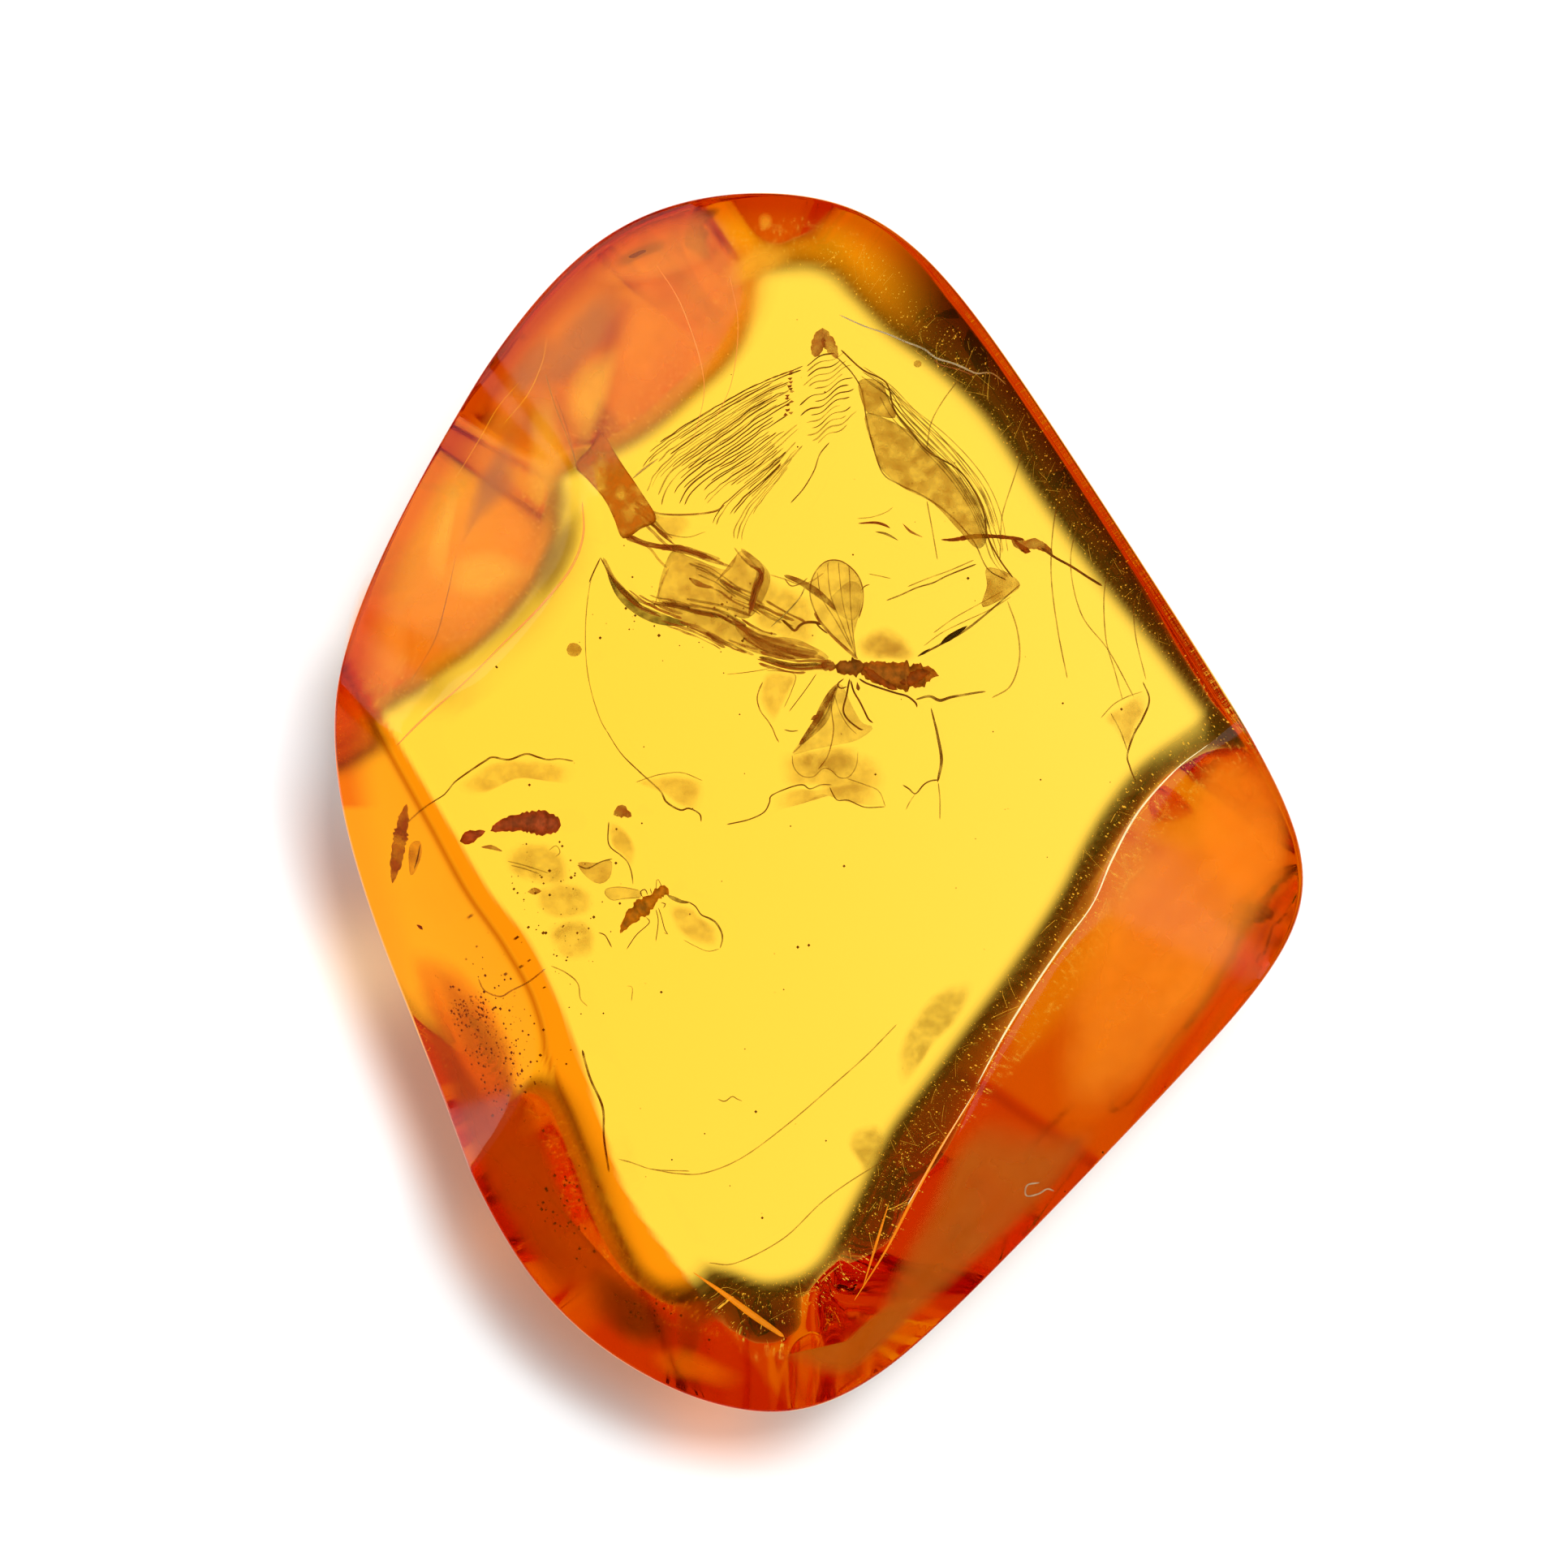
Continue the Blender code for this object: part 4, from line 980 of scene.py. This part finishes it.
def octahedra(centres, radii, tone):  # an eight-faced grain at each place
    corners = np.array(((1, 0, 0), (0, 1, 0), (-1, 0, 0), (0, -1, 0), (0, 0, 1), (0, 0, -1)), float)
    faces = np.array(((0, 1, 4), (1, 2, 4), (2, 3, 4), (3, 0, 4), (1, 0, 5), (2, 1, 5), (3, 2, 5), (0, 3, 5)))
    every = (centres[:, None] + corners[None] * radii[:, None,
                                                      None] * np.array((1.0, 1.0, 0.7))).reshape(-1, 3)
    each = (faces[None] + 6 * np.arange(len(centres))[:, None, None]).reshape(-1, 3)
    return every, each.tolist(), np.tile(tones[tone], (len(every), 1))


def overUndercut(x, y, lift):  # points just inside the sloping underside
    return np.stack([x, y, undersideHeight(x, y) + 0.03 + lift], axis=-1)


def dustParts():  # grains and scratches in the ground undercuts, where a painted glow makes them show bright against the painted shade of the gap
    rng = np.random.default_rng(9)
    x, y = rng.uniform(-14, 14, 160000), rng.uniform(-18, 18, 160000)
    gap = undersideHeight(x, y)
    least, most = specks["gaps"]
    band = np.flatnonzero((gap > least) & (gap < most) & (outlineField(x, y) < -specks["inset"]))
    chosen = band[:specks["dust"]]
    size = 0.006 + 0.022 * rng.random(len(chosen)) ** 4
    parts = [octahedra(overUndercut(x[chosen], y[chosen], size), size, "dust")]
    for start in band[-specks["scratches"]:]:
        heading, length = rng.normal(1.1, 0.9), rng.uniform(0.15, 0.8)
        t = np.linspace(-0.5, 0.5, 5) * length
        lineX, lineY = x[start] + t * math.cos(heading) + 0.08 * t * t, y[start] + t * math.sin(heading)
        lineGap = undersideHeight(lineX, lineY)
        inside = outlineField(lineX, lineY).max() < -specks["inset"]
        if inside and lineGap.min() > least and lineGap.max() < most:
            parts.append(tubeMesh("dust", overUndercut(lineX, lineY, 0.02), rng.uniform(0.0015, 0.0038), 4))
    return parts


def speckParts():  # dark specks in the clear middle and the peppered patches
    rng = np.random.default_rng(19)
    grid = rng.uniform((500, 350), (1450, 1550), (2000, 2))
    middle = sealedAt(grid, 3.0)
    inside = (undersideHeight(middle[:, 0], middle[:, 1]) < 0.5) & (outlineField(middle[:, 0],
                                                                                 middle[:, 1]) < -2.5)
    grid = grid[inside][:specks["dark"]]
    places = sealedAt(grid, rng.uniform(1.5, 6.0, len(grid)))
    parts = [octahedra(places, 0.012 + 0.04 * rng.random(len(grid)) ** 2, "speck")]
    for count, depth, place, spread in specks["patches"]:
        grid = np.array(place) + rng.normal(size=(count, 2)) * spread
        places = sealedAt(grid, depth + 0.3 * rng.random(count))
        grains = places[outlineField(places[:, 0], places[:, 1]) < -1.2]
        parts.append(octahedra(grains, 0.012 + 0.045 * rng.random(len(grains)) ** 2, "speck"))
    return parts


floorLook = {
    "half": 1.5, "fineHalf": 0.024, "cells": 400, "albedo": 0.85, "emission": 0.1, "shadowTint": (0.92,
                                                                                                  0.42,
                                                                                                  0.22),
    "glow": (1.4, 1.4, 1.4), "glowOutside": (1.15, 1.15, 1.15),
    # painted shade in the gap under the undercuts, and painted orange light in it on the lit side
    "gapNear": (0.075, 0.055, 0.02), "gapFar": (0.03, 0.02, 0.012), "gapLit": (1.2, 0.6, 0.03),
    # where each shade grows: by the gap over the table and by the distance outside the outline, in mm
    "gapGrows": (0.0, 0.15), "gapDeepens": (0.1, 0.6), "gapBrightens": (0.0, 0.35),
    "outsideGrows": (0.2, 3.0),
    # the sides, as azimuths in degrees, that are lit and shadowed, and the cosines between which they grow
    "litSide": 167.0, "litSpread": (0.0, 0.25), "shadowSide": 225.0, "shadowSpread": (0.62, 0.92),
    "shadowReach": (1.0, 3.2),
    # light that the amber throws on the table: place in mm, spread and colour
    "thrown": (((-13.9, -5.0), 1.9, (0.30, 0.22, 0.10)), ((-3.3, -19.2), 2.0, (0.28, 0.07, 0.0)),
               ((-10.4, -13.6), 1.5, (0.10, 0.03, 0.0))),
}


def makeFloor():
    material, nodes, links = newMaterial("floor")
    shader = nodes["Principled BSDF"]
    # the floor's colour holds a painted shadow tint beside the stone
    tint = nodes.new("ShaderNodeAttribute")
    tint.attribute_name = "tint"
    links.new(tint.outputs["Color"], shader.inputs["Base Color"])
    shader.inputs["Roughness"].default_value = 1.0
    shader.inputs["Specular IOR Level"].default_value = 0.0
    thrown = nodes.new("ShaderNodeAttribute")
    thrown.attribute_name = "thrown"
    links.new(thrown.outputs["Color"], shader.inputs["Emission Color"])
    shader.inputs["Emission Strength"].default_value = 1.0
    # seen through the amber the floor shows a painted glow instead of its lit colour: even, with painted
    # shade in the gap under the undercuts and painted orange light in that gap on the lit side
    path = nodes.new("ShaderNodeLightPath")
    first = nodes.new("ShaderNodeMath")
    first.operation = "LESS_THAN"
    first.inputs[1].default_value = 0.5
    links.new(path.outputs["Diffuse Depth"], first.inputs[0])
    through = nodes.new("ShaderNodeMath")
    through.operation = "MULTIPLY"
    links.new(path.outputs["Is Transmission Ray"], through.inputs[0])
    links.new(first.outputs["Value"], through.inputs[1])
    glow = nodes.new("ShaderNodeEmission")
    shade = nodes.new("ShaderNodeAttribute")
    shade.attribute_name = "glow"
    links.new(shade.outputs["Color"], glow.inputs["Color"])
    mix = nodes.new("ShaderNodeMixShader")
    links.new(through.outputs["Value"], mix.inputs["Fac"])
    links.new(shader.outputs["BSDF"], mix.inputs[1])
    links.new(glow.outputs["Emission"], mix.inputs[2])
    links.new(mix.outputs["Shader"], nodes["Material Output"].inputs["Surface"])
    fine = np.linspace(-floorLook["fineHalf"], floorLook["fineHalf"], floorLook["cells"] + 1)
    line = np.concatenate([[-floorLook["half"]], fine, [floorLook["half"]]])
    x, y = np.meshgrid(line, line, indexing="ij")
    count = len(line)
    points = np.stack([x, y, np.full_like(x, -0.0001)], axis=-1).reshape(-1, 3) / metresPerMm
    row, column = np.meshgrid(np.arange(count - 1), np.arange(count - 1), indexing="ij")
    corner = row * count + column
    faces = np.stack([corner, corner + count, corner + count + 1, corner + 1], axis=-1).reshape(-1, 4)
    floor = makeMesh("floor", points, faces.tolist(), material, smooth=False)
    outline, gap = outlineField(points[:, 0], points[:, 1]), undersideHeight(points[:, 0], points[:, 1])
    inGap = smoothStep(gap, *floorLook["gapGrows"])[:, None]
    azimuth = np.arctan2(points[:, 1], points[:, 0])
    lit = smoothStep(np.cos(azimuth - math.radians(floorLook["litSide"])), *floorLook["litSpread"])[:, None]
    deep = smoothStep(gap, *floorLook["gapDeepens"])[:, None]
    shade = np.array(floorLook["gapNear"]) * (1.0 - deep) + np.array(floorLook["gapFar"]) * deep
    lit = lit * smoothStep(gap, *floorLook["gapBrightens"])[:, None]
    shade = shade * (1.0 - lit) + np.array(floorLook["gapLit"]) * lit
    colour = np.array(floorLook["glow"]) * (1.0 - inGap) + shade * inGap
    outside = smoothStep(outline, *floorLook["outsideGrows"])[:, None]
    colour = colour * (1.0 - outside) + np.array(floorLook["glowOutside"]) * outside
    # painted shadow: an orange tint in the floor's own colour, on the side away from the key lamp, stands in
    # for the shadow and the light that has come through the amber
    turned = np.cos(azimuth - math.radians(floorLook["shadowSide"]))
    toShadow = smoothStep(turned, *floorLook["shadowSpread"])[:, None]
    shadow = (1.0 - smoothStep(outline, *floorLook["shadowReach"])[:, None]) * toShadow
    tint = 1.0 - shadow * (1.0 - np.array(floorLook["shadowTint"]))
    thrown = np.full((len(points), 3), floorLook["emission"])
    for place, spread, light in floorLook["thrown"]:
        distance = np.hypot(points[:, 0] - place[0], points[:, 1] - place[1])
        thrown += np.exp(-(distance / spread) ** 2)[:, None] * light
    for name, rows in (("tint", tint * floorLook["albedo"]), ("glow", colour), ("thrown", thrown)):
        layer = floor.data.attributes.new(name, "FLOAT_COLOR", "POINT")
        colours = np.concatenate([rows, np.ones((len(rows), 1))], axis=1)
        layer.data.foreach_set("color", colours.astype(np.float32).ravel())
    return floor


skyLook = {
    "mirror": ((0.0, 0.12), (0.4, 0.12), (0.58, 0.0), (1.0, 0.0)),  # what the stone mirrors, level to zenith
    "inside": 1.1,  # seen by light that has travelled through the stone
    "ambient": 0.53,  # what lights the floor
    "background": 1.0,
}


def makeWorld():
    world = bpy.data.worlds.new("studio")
    bpy.context.scene.world = world
    world.use_nodes = True
    world.cycles.sampling_method = "NONE"  # the sky is even for the light that falls on the table
    nodes, links = world.node_tree.nodes, world.node_tree.links
    coordinates = nodes.new("ShaderNodeTexCoord")
    split = nodes.new("ShaderNodeSeparateXYZ")
    links.new(coordinates.outputs["Generated"], split.inputs["Vector"])
    ramp = nodes.new("ShaderNodeValToRGB")
    ramp.color_ramp.interpolation = "EASE"
    while len(ramp.color_ramp.elements) > 1:
        ramp.color_ramp.elements.remove(ramp.color_ramp.elements[0])
    for index, (place, value) in enumerate(skyLook["mirror"]):
        stop = ramp.color_ramp.elements[0] if index == 0 else ramp.color_ramp.elements.new(place)
        stop.position = place
        stop.color = (value, value, value, 1.0)
    links.new(split.outputs["Z"], ramp.inputs["Fac"])
    path = nodes.new("ShaderNodeLightPath")
    deep = nodes.new("ShaderNodeMath")
    deep.operation = "GREATER_THAN"
    deep.inputs[1].default_value = 0.5
    links.new(path.outputs["Transmission Depth"], deep.inputs[0])
    colour = ramp.outputs["Color"]
    for name, chosen in (("inside", deep.outputs["Value"]), ("ambient", path.outputs["Is Diffuse Ray"]),
                         ("background", path.outputs["Is Camera Ray"])):
        mix = nodes.new("ShaderNodeMix")
        mix.data_type = "RGBA"
        links.new(chosen, mix.inputs[0])  # factor, and then the two colours
        links.new(colour, mix.inputs[6])
        mix.inputs[7].default_value = (skyLook[name],) * 3 + (1.0,)
        colour = mix.outputs[2]
    links.new(colour, nodes["Background"].inputs["Color"])


lampHeight = 0.5
lampLook = (  # level lamps over the table, by the degrees that each reaches off the zenith: across and along
    {"name": "key", "across": (4.5, 15.7), "along": (9.8, 19.6), "power": 2.13, "mirrored": False},
    {"name": "leftCard", "across": (-36.0, -19.2), "along": (8.0, 36.0), "power": 0.115, "mirrored": True},
    {"name": "backCard", "across": (-13.0, -2.0), "along": (14.0, 30.0), "power": 0.038, "mirrored": True},
    {"name": "rightCard", "across": (27.5, 48.0), "along": (-17.0, 5.0), "power": 0.105, "mirrored": True},
)


def makeLamps():
    for look in lampLook:
        low, high = (np.tan(np.radians(np.array(look[way]))) * lampHeight for way in ("across", "along"))
        lamp = bpy.data.lights.new(look["name"], "AREA")
        lamp.shape, lamp.energy = "RECTANGLE", look["power"]
        lamp.size, lamp.size_y = low[1] - low[0], high[1] - high[0]
        holder = bpy.data.objects.new(look["name"], lamp)
        holder.location = (low.mean(), high.mean(), lampHeight)
        holder.visible_camera = False
        holder.visible_glossy = look["mirrored"]
        holder.visible_transmission = False
        root.objects.link(holder)


def makeCamera():  # straight down, framed so that 1 mm at 5 mm height takes 1/46.52 of the picture's width
    camera = bpy.data.cameras.new("camera")
    camera.lens, camera.sensor_width = 110.0, 36.0
    camera.clip_start, camera.clip_end = 0.001, 10.0
    holder = bpy.data.objects.new("camera", camera)
    holder.location = (-0.001096, 0.00059, 0.04652256 * camera.lens / camera.sensor_width + 0.005)
    root.objects.link(holder)
    bpy.context.scene.camera = holder


print("stone")
amber = amberMaterial()
stone = makeStone(amber)
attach(stone, "root")
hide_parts("amber_stone")
print("sealed things")
sealedLooks = {"solid": sealedMaterial("sealed_solid", False, 4200.0),
               "veil": sealedMaterial("sealed_veil", True, 2400.0)}
makeSealed("winged_insect", sealedParts(wingedInsect))
makeSealed("little_gnat", sealedParts(littleGnat))
makeSealed("plant_scraps", sealedParts(plantScraps) + [strandMesh(*strand) for strand in fibreStrands()])
makeSealed("cracks", sealedParts(cracksAndFilms))
makeSealed("fracture", sealedParts(bigFracture)
           + [strandMesh(*strand) for strand in rippleStrands() + crescentStrands()])
makeSealed("specks", speckParts())
# painted light: these two materials glow though they are no lamps; one holds the real dust grains and the
# painted ridge highlights, the other the sheets and lines of painted light and shade in the bevels
sealedLooks = {"solid": sealedMaterial("glowing_dust_and_glints", False, 4200.0, paintedGlow=0.6),
               "veil": sealedMaterial("cloudy_painted_light", True, 620.0, (0.72, 1.2), 0.42)}
makeSealed("dust", dustParts())
makeSealed("painted_light_sheets", sealedParts(paintedLightAndShadeSheets) + [strandMesh(*strand) for strand in ridgeGlints])
print("studio")
makeFloor()
makeWorld()
makeLamps()
makeCamera()
cycles = bpy.context.scene.cycles
cycles.max_bounces = 14
cycles.glossy_bounces = 14
cycles.transmission_bounces = 14
cycles.diffuse_bounces = 2
cycles.transparent_max_bounces = 16
bpy.context.scene.view_settings.view_transform = "Standard"
